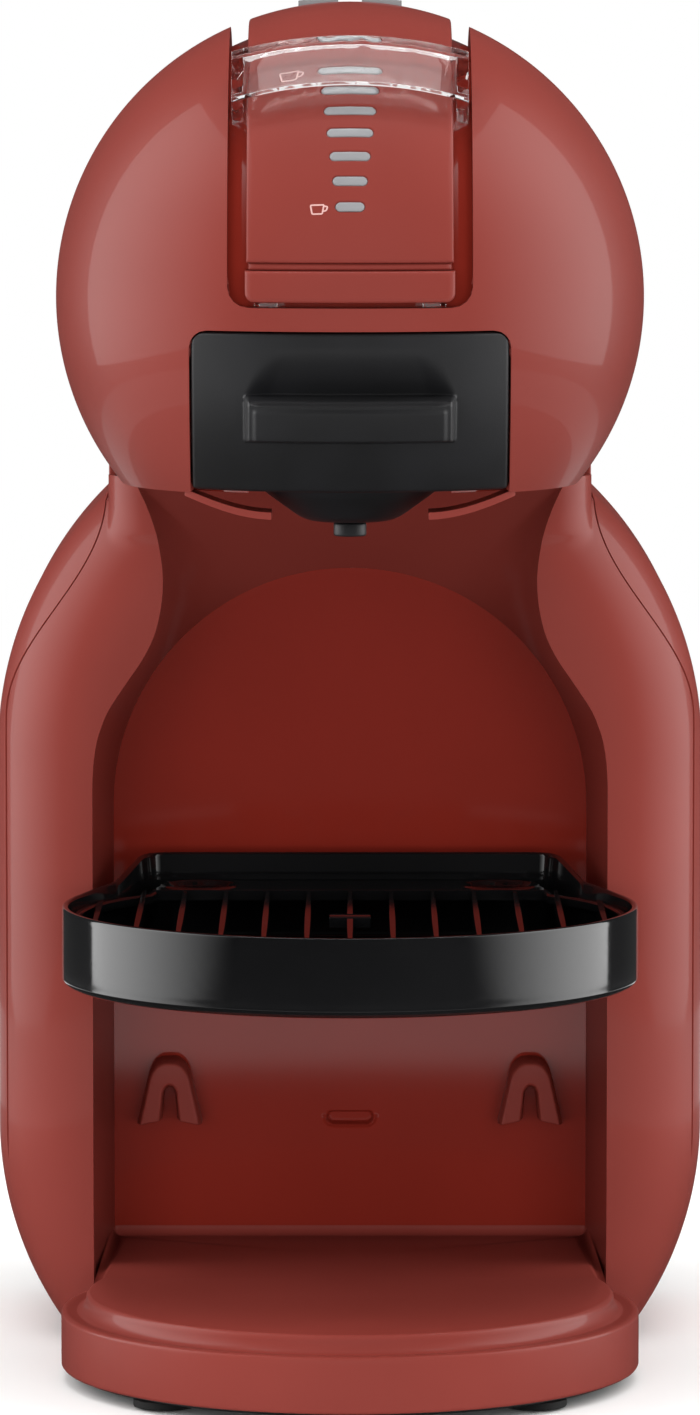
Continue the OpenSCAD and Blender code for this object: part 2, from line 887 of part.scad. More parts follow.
// Tube of straight runs with ball corners
module tube_run(points, r) {
    for (i = [0:len(points) - 2]) {
        run = points[i + 1] - points[i];
        length = norm(run);
        tilt = acos(run[2] / length);
        turn = atan2(run[1], run[0]);
        translate(points[i]) rotate([0, tilt, turn]) cylinder(r = r, h = length);
    }
    for (i = [1:len(points) - 2]) translate(points[i]) sphere(r = 1.1 * r);
}

module suction_tube() {
    color(clear) tube_run([[0, valve_y, tube_z], [0, 40, tube_z], [pump_x, 40, tube_z], [pump_x, 40, 11.4]], 2.5);
}

module pressure_tube() {
    color(grey) tube_run([[pump_x, inner_y, 122.1], [pump_x, inner_y, 158], [18, inner_y, 158], [18, inner_y, 148.1]], 2);
}

module delivery_tube() {
    color(grey) tube_run([[18, inner_y, 63.9], [18, inner_y, 56], [2, inner_y, 56], [2, 34, 56], [2, 34, 232], [2, -8, 262]], 2);
}

module inner_chassis() {
    color(dark) union() {
        box(-52, 54, niche_y + shell_wall + 0.6, niche_y + shell_wall + 2.6, floor_z + 0.2, 150);
        both_sides() box(50, 54, niche_y + shell_wall + 0.6, rear_y - 6, floor_z + 0.2, floor_z + 4);
    }
}

module control_board() {
    color([0.1, 0.3, 0.15]) {
        difference() {
            wide_box(26, 18, 19.6, 206, 268);
            box(-1.5, 5.5, 10, 25, 238, 256);
        }
        box(-20, -4, 19.6, 32, 240, 262);
        box(8, 20, 19.6, 30, 244, 260);
    }
}

module led_board() {
    color([0.1, 0.3, 0.15]) translate([0, head_y, head_z]) rotate([-34, 0, 0])
        wide_box(14, -53, -51.4, -20, 20);
}

module power_button() {
    color(grey) along_y(button_x, rear_y - 4, button_z) cylinder(r = button_r, h = 6);
}

module power_ring() {
    color(dark) along_y(button_x, rear_y - 3, button_z) difference() {
        union() {
            cylinder(r = button_r + 1.3, h = 3.1);
            translate([0, 0, 3.1]) cylinder(r = button_r + 2.4, h = 1);
        }
        translate([0, 0, -1]) cylinder(r = button_r + 0.3, h = 8);
    }
}

module cord_gland() {
    color(dark) along_y(gland_x, rear_y - 5, gland_z) difference() {
        union() {
            cylinder(r = 5.1, h = 5.1);
            translate([0, 0, 5.1]) cylinder(r = 7, h = 2.4);
            translate([0, 0, 7.5]) cylinder(r = 5, h = 4);
        }
        translate([0, 0, -1]) cylinder(r = 3.6, h = 14);
    }
}

module shell_screws() {
    color(steel) both_sides() for (z = screw_z) {
        along_y(60, rear_y - 1.9, z) cylinder(r = 3, h = 1.8);
        along_y(60, rear_y - 14, z) cylinder(r = 1.5, h = 12.2);
    }
}

base_housing();
base_plate();
feet();
front_shell();
rear_shell();
head_shell();
control_panel();
panel_trim();
panel_lip();
lip_clips();
level_bars();
hot_key();
cold_key();
key_switches();
selector_wheel();
selector_axle();
selector_bracket();
locking_handle();
handle_axle();
handle_cams();
drawer_guide();
injector_carriage();
piercing_needle();
injector_seal();
drawer_face();
pod_drawer();
pod_bowl();
outlet_nozzle();
drip_tray();
drip_grid();
tray_hooks();
water_tank();
tank_lid();
lid_pin();
valve_seal();
valve_poppet();
tank_dock();
pump_tube();
pump_coil();
pump_piston();
pump_mounts();
thermoblock();
heater_rod();
thermostat();
flow_meter();
flow_rotor();
suction_tube();
pressure_tube();
delivery_tube();
inner_chassis();
control_board();
led_board();
power_button();
power_ring();
cord_gland();
shell_screws();
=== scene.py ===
import json
import math

import bmesh
import bpy
import numpy as np
from bpy.props import FloatProperty, IntProperty, PointerProperty, StringProperty
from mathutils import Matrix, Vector


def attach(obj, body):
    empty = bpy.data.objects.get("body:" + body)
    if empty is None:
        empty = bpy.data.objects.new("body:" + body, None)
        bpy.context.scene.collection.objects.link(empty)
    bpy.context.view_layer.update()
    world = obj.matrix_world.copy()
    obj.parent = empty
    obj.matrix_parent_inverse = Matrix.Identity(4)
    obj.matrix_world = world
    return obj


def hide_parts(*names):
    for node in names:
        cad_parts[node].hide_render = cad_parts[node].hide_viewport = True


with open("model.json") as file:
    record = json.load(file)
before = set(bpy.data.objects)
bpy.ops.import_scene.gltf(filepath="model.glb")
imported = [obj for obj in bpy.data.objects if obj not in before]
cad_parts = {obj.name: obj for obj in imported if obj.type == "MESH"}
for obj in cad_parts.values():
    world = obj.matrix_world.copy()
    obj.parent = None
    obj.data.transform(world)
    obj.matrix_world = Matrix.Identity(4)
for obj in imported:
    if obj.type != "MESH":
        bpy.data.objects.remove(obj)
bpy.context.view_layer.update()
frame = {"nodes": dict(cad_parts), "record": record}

bl_info = {
    "name": "Pod coffee machine",
    "version": (1, 0, 0),
    "blender": (4, 5, 0),
    "location": "3D View > Sidebar > Coffee machine",
    "description": "Builds the finished surfaces of a small pod coffee machine around its CAD frame",
    "category": "Object",
}

MM = 0.001
BODY_OF = {
    node: body for body, members in frame["record"]["behaviour"]["bodies"].items() for node in members
}
SLOT_OF = {part["node"]: part["material_slot"] for part in frame["record"]["subparts"]}
CAMERA_Y = -1.787
CAMERA_Z = 0.308
CAMERA_TILT = 84.74
LENS = 201.4
SENSOR = 36.0


# ---------------------------------------------------------------- materials


def srgb(code):
    """Linear colour of an sRGB hex code: each channel is raised by the sRGB curve."""
    raw = np.array([int(code[i:i + 2], 16) for i in (1, 3, 5)]) / 255.0
    linear = np.where(raw <= 0.04045, raw / 12.92, ((raw + 0.055) / 1.055) ** 2.4)
    return (*linear.tolist(), 1.0)


def add(tree, kind, settings=None, links=None):
    """Adds one shader node, sets its sockets or attributes by name and links its inputs."""
    made = tree.nodes.new(kind)
    for key, value in (settings or {}).items():
        if isinstance(key, int) or key in made.inputs:
            made.inputs[key].default_value = value
        else:
            setattr(made, key, value)
    for key, source in (links or {}).items():
        tree.links.new(source, made.inputs[key])
    return made


def new_material(name):
    """An empty node material with an output, a surface shader and object coordinates."""
    material = bpy.data.materials.new(name)
    material.use_nodes = True
    tree = material.node_tree
    tree.nodes.clear()
    out = add(tree, "ShaderNodeOutputMaterial")
    shader = add(tree, "ShaderNodeBsdfPrincipled")
    tree.links.new(shader.outputs["BSDF"], out.inputs["Surface"])
    place = add(tree, "ShaderNodeTexCoord")
    return material, tree, shader, place.outputs["Object"]


def varied_colour(tree, shader, place, base, other, scale, low_mix=0.4, high_mix=0.62):
    """Blends two near colours by soft noise, as moulded plastic drifts a little over its surface."""
    noise = add(tree, "ShaderNodeTexNoise", {"Scale": scale, "Detail": 3.0}, {"Vector": place})
    ramp = add(tree, "ShaderNodeValToRGB", {}, {"Fac": noise.outputs["Fac"]})
    ramp.color_ramp.elements[0].position = low_mix
    ramp.color_ramp.elements[0].color = srgb(base)
    ramp.color_ramp.elements[1].position = high_mix
    ramp.color_ramp.elements[1].color = srgb(other)
    tree.links.new(ramp.outputs["Color"], shader.inputs["Base Color"])


def fine_relief(tree, shader, place, scale, strength, depth, low_rough, high_rough):
    """Fine grain as bump, and the same grain as a small change of roughness."""
    grain = add(tree, "ShaderNodeTexNoise", {"Scale": scale, "Detail": 4.0}, {"Vector": place})
    bump = add(tree, "ShaderNodeBump", {"Strength": strength, "Distance": depth},
               {"Height": grain.outputs["Fac"]})
    tree.links.new(bump.outputs["Normal"], shader.inputs["Normal"])
    rough = add(tree, "ShaderNodeMapRange", {"To Min": low_rough, "To Max": high_rough},
                {"Value": grain.outputs["Fac"]})
    tree.links.new(rough.outputs["Result"], shader.inputs["Roughness"])


def abs_red(name, base, other, roughness, gloss, coat):
    """ABS moulded in a polished tool, dyed brick red: an even body colour under a thin clear gloss
    that mirrors the light panels with sharp edges but faintly."""
    material, tree, shader, place = new_material(name)
    varied_colour(tree, shader, place, base, other, 14.0)
    # Tool polish marks are near 0.4 mm apart and hardly deep enough to feel
    fine_relief(tree, shader, place, 2400.0, 0.02, 0.0001, roughness - 0.03, roughness + 0.03)
    shader.inputs["IOR"].default_value = 1.52
    shader.inputs["Specular IOR Level"].default_value = gloss
    shader.inputs["Coat Weight"].default_value = coat
    shader.inputs["Coat Roughness"].default_value = 0.05
    return material


def abs_black_satin(name):
    """ABS moulded against a fine spark-eroded tool: dark grey with a dull sheen and a sandy grain."""
    material, tree, shader, place = new_material(name)
    varied_colour(tree, shader, place, "#161617", "#1C1C1E", 30.0)
    # The spark grain is near 0.15 mm, drawn at 0.3 mm so that it shows
    fine_relief(tree, shader, place, 3300.0, 0.12, 0.0002, 0.40, 0.52)
    shader.inputs["IOR"].default_value = 1.52
    return material


def abs_black_gloss(name):
    """ABS moulded in a mirror-polished tool: near black, and what shows is what it mirrors."""
    material, tree, shader, place = new_material(name)
    varied_colour(tree, shader, place, "#0B0B0C", "#101011", 20.0)
    fine_relief(tree, shader, place, 700.0, 0.02, 0.0001, 0.06, 0.12)
    shader.inputs["IOR"].default_value = 1.54
    return material


def grey_print(name, base, other):
    """Polycarbonate light guide, moulded milky grey: even and softly shiny."""
    material, tree, shader, place = new_material(name)
    varied_colour(tree, shader, place, base, other, 60.0)
    fine_relief(tree, shader, place, 2600.0, 0.03, 0.0001, 0.26, 0.34)
    shader.inputs["IOR"].default_value = 1.58
    return material


def clear_plastic(name, tint, roughness, cover):
    """Clear moulded plastic: the walls show by their bright edges and what bends through them. The walls
    are thin, so part of the light goes straight through, and cover is the part that is bent."""
    material, tree, shader, place = new_material(name)
    shader.inputs["Base Color"].default_value = srgb(tint)
    shader.inputs["Transmission Weight"].default_value = 1.0
    shader.inputs["Alpha"].default_value = cover
    shader.inputs["IOR"].default_value = 1.52
    flow = add(tree, "ShaderNodeTexNoise", {"Scale": 90.0, "Detail": 2.0}, {"Vector": place})
    # Flow lines from the moulding, some 10 mm apart and very shallow
    bump = add(tree, "ShaderNodeBump", {"Strength": 0.02, "Distance": 0.0004},
               {"Height": flow.outputs["Fac"]})
    tree.links.new(bump.outputs["Normal"], shader.inputs["Normal"])
    rough = add(tree, "ShaderNodeMapRange", {"To Min": roughness, "To Max": roughness + 0.02},
                {"Value": flow.outputs["Fac"]})
    tree.links.new(rough.outputs["Result"], shader.inputs["Roughness"])
    return material


def soft_polymer(name, base, other, roughness):
    """Moulded rubber or silicone: matt, with a faint bloom over its surface."""
    material, tree, shader, place = new_material(name)
    varied_colour(tree, shader, place, base, other, 40.0)
    fine_relief(tree, shader, place, 1500.0, 0.15, 0.0003, roughness - 0.06, roughness + 0.06)
    shader.inputs["IOR"].default_value = 1.45
    return material


def worked_metal(name, base, other, scale, low_rough, high_rough, depth):
    """Bare metal: a clear mirror broken by the marks of turning, casting or winding."""
    material, tree, shader, place = new_material(name)
    varied_colour(tree, shader, place, base, other, 50.0)
    fine_relief(tree, shader, place, scale, 0.2, depth, low_rough, high_rough)
    shader.inputs["Metallic"].default_value = 1.0
    return material


def wound_copper(name):
    """Enamelled copper wire wound in layers: brown-orange with fine even ridges 0.8 mm apart."""
    material, tree, shader, place = new_material(name)
    shader.inputs["Metallic"].default_value = 1.0
    turns = add(tree, "ShaderNodeTexWave", {
        "wave_type": "BANDS", "bands_direction": "Z", "Scale": 390.0, "Distortion": 0.3,
    }, {"Vector": place})
    ramp = add(tree, "ShaderNodeValToRGB", {}, {"Fac": turns.outputs["Fac"]})
    ramp.color_ramp.elements[0].color = srgb("#6E3A1E")
    ramp.color_ramp.elements[1].color = srgb("#C8763C")
    tree.links.new(ramp.outputs["Color"], shader.inputs["Base Color"])
    bump = add(tree, "ShaderNodeBump", {"Strength": 0.5, "Distance": 0.0003},
               {"Height": turns.outputs["Fac"]})
    tree.links.new(bump.outputs["Normal"], shader.inputs["Normal"])
    shader.inputs["Roughness"].default_value = 0.35
    return material


def glass_fibre_board(name):
    """Glass-fibre board under green solder mask: a fine woven relief below a smooth lacquer."""
    material, tree, shader, place = new_material(name)
    weave = add(tree, "ShaderNodeTexBrick", {"Scale": 500.0, "Mortar Size": 0.03}, {"Vector": place})
    for socket, code in (("Color1", "#1E5A34"), ("Color2", "#1A4F2E"), ("Mortar", "#143F25")):
        weave.inputs[socket].default_value = srgb(code)
    tree.links.new(weave.outputs["Color"], shader.inputs["Base Color"])
    bump = add(tree, "ShaderNodeBump", {"Strength": 0.1, "Distance": 0.0002},
               {"Height": weave.outputs["Fac"]})
    tree.links.new(bump.outputs["Normal"], shader.inputs["Normal"])
    shader.inputs["Roughness"].default_value = 0.3
    return material


def make_materials():
    """All finishes by the name of the record's slot, and the few that only some pieces use."""
    paint = bpy.context.scene.machine_colours
    return {
        "red_shell": abs_red("moulded_ABS_brick_red", paint.shell, paint.shell_drift, 0.4, 0.15, 0.16),
        # The cup space, the groove and the ball's flat underside use a darker, more saturated copy of the shell red.
        # This is painted shade for recesses, with a sharper gloss of its own.
        "red_painted_shade": abs_red("moulded_ABS_brick_red_painted_shade", paint.niche, paint.niche_drift, 0.07, 0.5, 0.0),
        "black_satin": abs_black_satin("spark_eroded_ABS_black"),
        "black_gloss": abs_black_gloss("polished_ABS_black"),
        "grey_plastic": grey_print("moulded_polycarbonate_grey", paint.bars, paint.bars_drift),
        "icon_print": grey_print("pad_printed_ink_rose", "#C79A94", "#CFA49E"),
        "clear_handle": clear_plastic("moulded_polycarbonate_clear", "#FFFFFF", 0.0, 1.0),
        "clear_tank": clear_plastic("moulded_SAN_smoke_clear", "#E9EEF0", 0.03, 0.35),
        "rubber": soft_polymer("moulded_rubber_black", "#151515", "#1C1C1C", 0.75),
        "silicone": soft_polymer("extruded_silicone_white", "#D6D8D4", "#C9CCC8", 0.5),
        "steel": worked_metal("turned_stainless_steel", "#B9BCC0", "#C8CBCE", 2600.0, 0.18, 0.3, 0.00005),
        "aluminium": worked_metal("die_cast_aluminium", "#A9ACAE", "#BABDBE", 900.0, 0.4, 0.55, 0.0003),
        "copper_coil": wound_copper("enamelled_copper_winding"),
        "board": glass_fibre_board("solder_masked_glass_fibre"),
    }


FINISH = {}

# ------------------------------------------------------------------ meshes


def sheet(points, wrap_u=False, wrap_v=False):
    """Square faces of a grid of points, shape (rows, columns, 3).

    Point (i, j) meets (i+1, j), (i+1, j+1) and (i, j+1)."""
    rows, columns = points.shape[:2]
    i = np.arange(rows if wrap_u else rows - 1)
    j = np.arange(columns if wrap_v else columns - 1)
    a, b = np.meshgrid(i, j, indexing="ij")
    c, d = (a + 1) % rows, (b + 1) % columns
    quads = np.stack([a * columns + b, c * columns + b, c * columns + d, a * columns + d], axis=-1)
    return points.reshape(-1, 3), quads.reshape(-1, 4)


def slab(top, bottom):
    """Closed wall between two grids of one shape: both faces and a strip around their common edge."""
    def rim(p):
        return np.concatenate([p[:-1, 0], p[-1, :-1], p[1:, -1][::-1], p[0, 1:][::-1]])
    edge = np.stack([rim(top), rim(bottom)], axis=1)
    return [sheet(top), sheet(bottom[::-1]), sheet(edge, wrap_u=True)]


def build(name, parts, weld=0.004, outward=None):
    """One mesh object from grids in millimetres: stacked, welded, and turned to face outwards.
    outward is a point inside an open skin; faces that look at it are turned."""
    offsets = np.cumsum([0] + [len(p) for p, _ in parts[:-1]])
    points = np.concatenate([p for p, _ in parts]) * MM
    quads = np.concatenate([q + o for (_, q), o in zip(parts, offsets)])
    mesh = bpy.data.meshes.new(name)
    mesh.from_pydata(points.tolist(), [], quads.tolist())
    body = bmesh.new()
    body.from_mesh(mesh)
    bmesh.ops.remove_doubles(body, verts=body.verts, dist=weld * MM)
    bmesh.ops.dissolve_degenerate(body, edges=body.edges, dist=weld * MM * 0.5)
    bmesh.ops.recalc_face_normals(body, faces=body.faces)
    if outward is not None:
        turn_outwards(body, outward)
    body.to_mesh(mesh)
    body.free()
    return bpy.data.objects.new(name, mesh)


def turn_outwards(body, inside):
    """Turns a whole skin over when its faces mostly look at a point inside it."""
    body.normal_update()
    centre = Vector(inside) * MM
    facing = sum(f.normal.dot(f.calc_center_median() - centre) * f.calc_area() for f in body.faces)
    if facing < 0:
        bmesh.ops.reverse_faces(body, faces=body.faces)


def finish(obj, nodes, finish_name=None, body=None, angle=32, bevel=0.0, wall=0.0, segments=3, replaces=True):
    """Links a piece, gives it its wall, its rounded edges, its body, and the finish of its slot or the one named."""
    bpy.context.scene.collection.objects.link(obj)
    mesh = obj.data
    mesh.polygons.foreach_set("use_smooth", np.ones(len(mesh.polygons), bool))
    mesh.set_sharp_from_angle(angle=math.radians(angle))
    if wall:
        thick = obj.modifiers.new("wall", "SOLIDIFY")
        thick.thickness = wall * MM
        thick.offset = -1.0
        thick.use_even_offset = False
    if bevel:
        rounded = obj.modifiers.new("rounded edges", "BEVEL")
        rounded.width = bevel * MM
        rounded.segments = segments
        rounded.limit_method = "ANGLE"
        rounded.angle_limit = math.radians(angle)
        rounded.harden_normals = True
        rounded.use_clamp_overlap = True
    slot = SLOT_OF[nodes[0]]
    mesh.materials.clear()
    mesh.materials.append(FINISH[finish_name or slot])
    if replaces:
        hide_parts(*nodes)
    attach(obj, body or BODY_OF[nodes[0]])
    return obj


def refined(node, name, bevel=0.3, angle=30, finish_name=None, segments=2):
    """A merged copy of a CAD node with its edges rounded and its curved faces shaded smooth."""
    source = frame["nodes"][node]
    mesh = source.data.copy()
    mesh.name = name
    body = bmesh.new()
    body.from_mesh(mesh)
    bmesh.ops.remove_doubles(body, verts=body.verts, dist=0.002 * MM)
    bmesh.ops.dissolve_limit(body, angle_limit=math.radians(0.5), verts=body.verts, edges=body.edges)
    body.to_mesh(mesh)
    body.free()
    copy = bpy.data.objects.new(name, mesh)
    return finish(copy, [node], finish_name, angle=angle, bevel=bevel, segments=segments)


def revolve(profile, centre, steps=96):
    """Carries a profile of radius and height once around a vertical axis."""
    turn = np.linspace(0, 2 * math.pi, steps, endpoint=False)
    r, z = np.array(profile, float).T
    x = centre[0] + np.outer(np.cos(turn), r)
    y = centre[1] + np.outer(np.sin(turn), r)
    return np.stack([x, y, np.broadcast_to(z, x.shape)], axis=-1)


def rounded_path(points, radius, steps=5):
    """Polyline whose inner corners are replaced by short quadratic curves of the given reach."""
    path = [np.array(points[0], float)]
    for before, here, after in zip(points[:-2], points[1:-1], points[2:]):
        before, here, after = (np.array(p, float) for p in (before, here, after))
        to, fro = before - here, after - here
        reach = min(radius, np.linalg.norm(to) * 0.49, np.linalg.norm(fro) * 0.49)
        start = here + to / np.linalg.norm(to) * reach
        end = here + fro / np.linalg.norm(fro) * reach
        t = np.linspace(0, 1, steps)[:, None]
        path.extend((1 - t) ** 2 * start + 2 * t * (1 - t) * here + t ** 2 * end)
    path.append(np.array(points[-1], float))
    return np.array(path)


def smooth_step(t):
    """0 to 1 with level ends: three t squared minus two t cubed."""
    t = np.clip(t, 0, 1)
    return t * t * (3 - 2 * t)


# -------------------------------------------------------------- ball head


def on_ball(x, turn, radius, head):
    """Point of the ball: x across, turn as the angle about the head's X axis from the front up over the top."""
    reach = np.sqrt(np.maximum(radius ** 2 - x ** 2, 0))
    return np.stack([x + 0 * turn, head.y - reach * np.cos(turn), head.z + reach * np.sin(turn)], axis=-1)


def turn_at(height, x, radius, head):
    """Angle about the head's X axis where the ball's front stands at a height."""
    reach = np.sqrt(radius ** 2 - x ** 2)
    return np.arcsin(np.clip((height - head.z) / reach, -1, 1))


def back_turn(x, radius, head):
    """Angle about the head's X axis where the ball's top meets the hood's plane."""
    reach = np.sqrt(radius ** 2 - x ** 2)
    return math.pi - np.arccos(np.clip((head.back_y - head.y) / reach, -1, 1))


def cut(body, point, normal, near=None, clear=False):
    """Cuts faces along a plane; near is a test of a face's centre that limits the cut."""
    faces = [f for f in body.faces if near is None or near(f.calc_center_median())]
    parts = set(faces)
    for face in faces:
        parts.update(face.verts)
        parts.update(face.edges)
    bmesh.ops.bisect_plane(
        body, geom=list(parts), dist=1e-7, plane_co=Vector(point) * MM, plane_no=Vector(normal), clear_outer=clear
    )


def rounded_window(half, z0, z1, radius, steps=5):
    """Corner points of an upright rectangle with rounded corners, in order around it."""
    turns = np.linspace(0, math.pi / 2, steps)
    corners = [(half - radius, z1 - radius, 0), (-half + radius, z1 - radius, 1),
               (-half + radius, z0 + radius, 2), (half - radius, z0 + radius, 3)]
    return np.concatenate([
        np.stack([x + radius * np.cos(turns + k * math.pi / 2), z + radius * np.sin(turns + k * math.pi / 2)], -1)
        for x, z, k in corners
    ])


def cut_window(body, outline, front_y, top_z=None):
    """Cuts a convex window through a skin that faces the front, and takes out what lies inside it."""
    ends = np.roll(outline, -1, axis=0)
    for (x0, z0), (x1, z1) in zip(outline, ends):
        length = math.hypot(x1 - x0, z1 - z0)
        if length < 0.01:
            continue
        nx, nz = (z1 - z0) / length, -(x1 - x0) / length
        xm, zm = (x0 + x1) / 2, (z0 + z1) / 2

        def close(c, reach=length / 2 + 3):
            along = abs((c.x / MM - xm) * nz - (c.z / MM - zm) * nx)
            across = abs((c.x / MM - xm) * nx + (c.z / MM - zm) * nz)
            return along < reach and across < 3 and (c.y < front_y * MM or c.z > 0.262)

        cut(body, (xm, 0, zm), (nx, 0, nz), close)

    def inside(c):
        if c.y > front_y * MM and not (top_z and c.z > top_z * MM):
            return False
        x, z = c.x / MM, c.z / MM
        across = [(x - x0) * (z1 - z0) - (z - z0) * (x1 - x0) for (x0, z0), (x1, z1) in zip(outline, ends)]
        return all(a <= 0 for a in across) or all(a >= 0 for a in across)

    gone = [f for f in body.faces if inside(f.calc_center_median())]
    bmesh.ops.delete(body, geom=gone, context="FACES")


def turn_in_rim(body, test, move):
    """Carries the open edges that pass a test inwards, to the place that move gives."""
    edges = [e for e in body.edges if e.is_boundary and all(test(v.co / MM) for v in e.verts)]
    made = bmesh.ops.extrude_edge_only(body, edges=edges)["geom"]
    for vert in (v for v in made if isinstance(v, bmesh.types.BMVert)):
        vert.co = Vector(move(vert.co / MM)) * MM


def make_head(head):
    """Ball skin: a grid over x and the turn about the X axis, cut flat below and behind, with the
    band's groove and the drawer's window cut out and their rims carried inwards."""
    across = head.radius * np.sin(np.linspace(-math.pi / 2, math.pi / 2, 133))
    around = np.linspace(-math.pi, math.pi, 216, endpoint=False)
    x, turn = np.meshgrid(across, around, indexing="ij")
    skin = build("head_ball", [sheet(on_ball(x, turn, head.radius, head), wrap_v=True)])
    body = bmesh.new()
    body.from_mesh(skin.data)
    cut(body, (0, 0, head.floor_z), (0, 0, -1), clear=True)
    cut(body, (0, head.back_y, 0), (0, 1, 0), clear=True)
    window = rounded_window(head.window_half, head.window_low_z, head.window_top_z, 3.8)
    cut_window(body, window, head.y - 20)
    groove = rounded_window(head.groove_half, head.z, head.z + 100, 4.5)
    cut_window(body, groove, head.y - 20, top_z=head.z + 25)
    centre = Vector((0, head.y, head.z))
    for vert in body.verts:
        away = vert.co / MM - centre
        vert.co = (centre + away * (head.radius / away.length)) * MM
        if abs(vert.co.z / MM - head.floor_z) < 0.05:
            vert.co.z = head.floor_z * MM
        if abs(vert.co.y / MM - head.back_y) < 0.05:
            vert.co.y = head.back_y * MM

    def in_window(p):
        return p.y < head.y - 20 and p.z < head.z - 3 and abs(p.x) < head.window_half + 0.5 and p.z > head.floor_z + 1

    def in_groove(p):
        return abs(p.x) < head.groove_half + 0.3 and p.z > head.z - 0.5 and p.y < head.back_y - 0.01

    def to_window_depth(p):
        inner = head.radius - 4.2
        return (p.x, head.y - math.sqrt(max(inner ** 2 - p.x ** 2 - (p.z - head.z) ** 2, 0)), p.z)

    def to_groove_floor(p):
        scale = math.sqrt((head.groove_r ** 2 - p.x ** 2) / (head.radius ** 2 - p.x ** 2))
        return (p.x, head.y + (p.y - head.y) * scale, head.z + (p.z - head.z) * scale)

    turn_in_rim(body, in_window, to_window_depth)
    turn_in_rim(body, in_groove, to_groove_floor)
    bmesh.ops.recalc_face_normals(body, faces=body.faces)
    turn_outwards(body, (0, head.y + 8, head.z))
    body.to_mesh(skin.data)
    body.free()
    finish(skin, ["head_shell"], wall=1.2, bevel=0.45, angle=38, segments=3)
    groove_x = np.linspace(-head.groove_half - 0.4, head.groove_half + 0.4, 41)
    share = np.linspace(0, 1, 90)
    x, s = np.meshgrid(groove_x, share, indexing="ij")
    start = turn_at(head.z - 0.4, x, head.groove_r, head)
    end = back_turn(x, head.groove_r, head)
    floor_top = on_ball(x, start + (end - start) * s, head.groove_r, head)
    floor_low = on_ball(x, start + (end - start) * s, head.groove_r - 1.8, head)
    floor = build("groove_floor", slab(floor_top, floor_low))
    # The groove floor is red with painted shade
    finish(floor, ["head_shell"], "red_painted_shade", replaces=False)
    disc = []
    edge_r = math.sqrt(head.radius ** 2 - (head.z - head.floor_z) ** 2) - 0.2
    half_depth = head.back_y - head.y
    open_r = 60.4
    for side in (-1, 1):
        outer_x = np.array([22.0, 25, 28, 31, 34.4, 35.4, 38, 42, 46, 49, edge_r - 0.05])
        front = head.y - np.sqrt(edge_r ** 2 - outer_x ** 2)
        cut_back = head.y - np.sqrt(open_r ** 2 - (head.z - head.floor_z) ** 2 - np.minimum(outer_x, 35) ** 2)
        front = np.where(outer_x < 35, cut_back, front)
        rear = np.minimum(head.y + np.sqrt(edge_r ** 2 - outer_x ** 2), head.y + half_depth)
        s = np.linspace(0, 1, 24)
        y = front[:, None] + (rear - front)[:, None] * s
        xx = side * outer_x[:, None] + 0 * y
        top = np.stack([xx, y, np.full_like(y, head.floor_z + head.floor_t)], -1)
        bottom = np.stack([xx, y, np.full_like(y, head.floor_z + 0.02)], -1)
        disc += slab(top, bottom)
    xx, y = np.meshgrid(np.linspace(-22, 22, 20), np.linspace(head.y - 1, head.back_y, 12), indexing="ij")
    disc += slab(np.stack([xx, y, np.full_like(y, head.floor_z + head.floor_t)], -1),
                 np.stack([xx, y, np.full_like(y, head.floor_z + 0.02)], -1))
    # The ball's underside is red with painted shade
    finish(build("head_floor", disc), ["head_shell"], "red_painted_shade", replaces=False)
    make_chin(head)


def make_chin(head):
    """Chin below the drawer: on each side a thin leaf that hangs from the window's lower corner down towards
    the bowl. Its front edge follows the ball and its height falls with x by a cosine quarter."""
    edge_r = math.sqrt(head.radius ** 2 - (head.z - head.floor_z) ** 2)
    across = np.concatenate([[17.0, 17.15, 17.4], np.linspace(18, 35.4, 26), [35.7, 35.9]])
    share = np.concatenate([[0, 0.01, 0.03], np.linspace(0.07, 1, 14)])
    x, s = np.meshgrid(across, share, indexing="ij")
    fall = 4.9 * np.sin(np.clip((36.2 - x) / (36.2 - 17.0), 0, 1) * math.pi / 2)
    front = head.y - np.sqrt(edge_r ** 2 - x ** 2) + 0.25 + 1.1 * fall
    y = front + 13.0 * s
    z = head.floor_z + 0.15 - fall
    for side, name in ((-1, "chin_left"), (1, "chin_right")):
        lower = np.stack([side * x, y, z - 0.9], -1)
        upper = np.stack([side * x, y, z + 0.7], -1)
        finish(build(name, slab(upper, lower)), ["head_shell"], bevel=0.3, replaces=False)


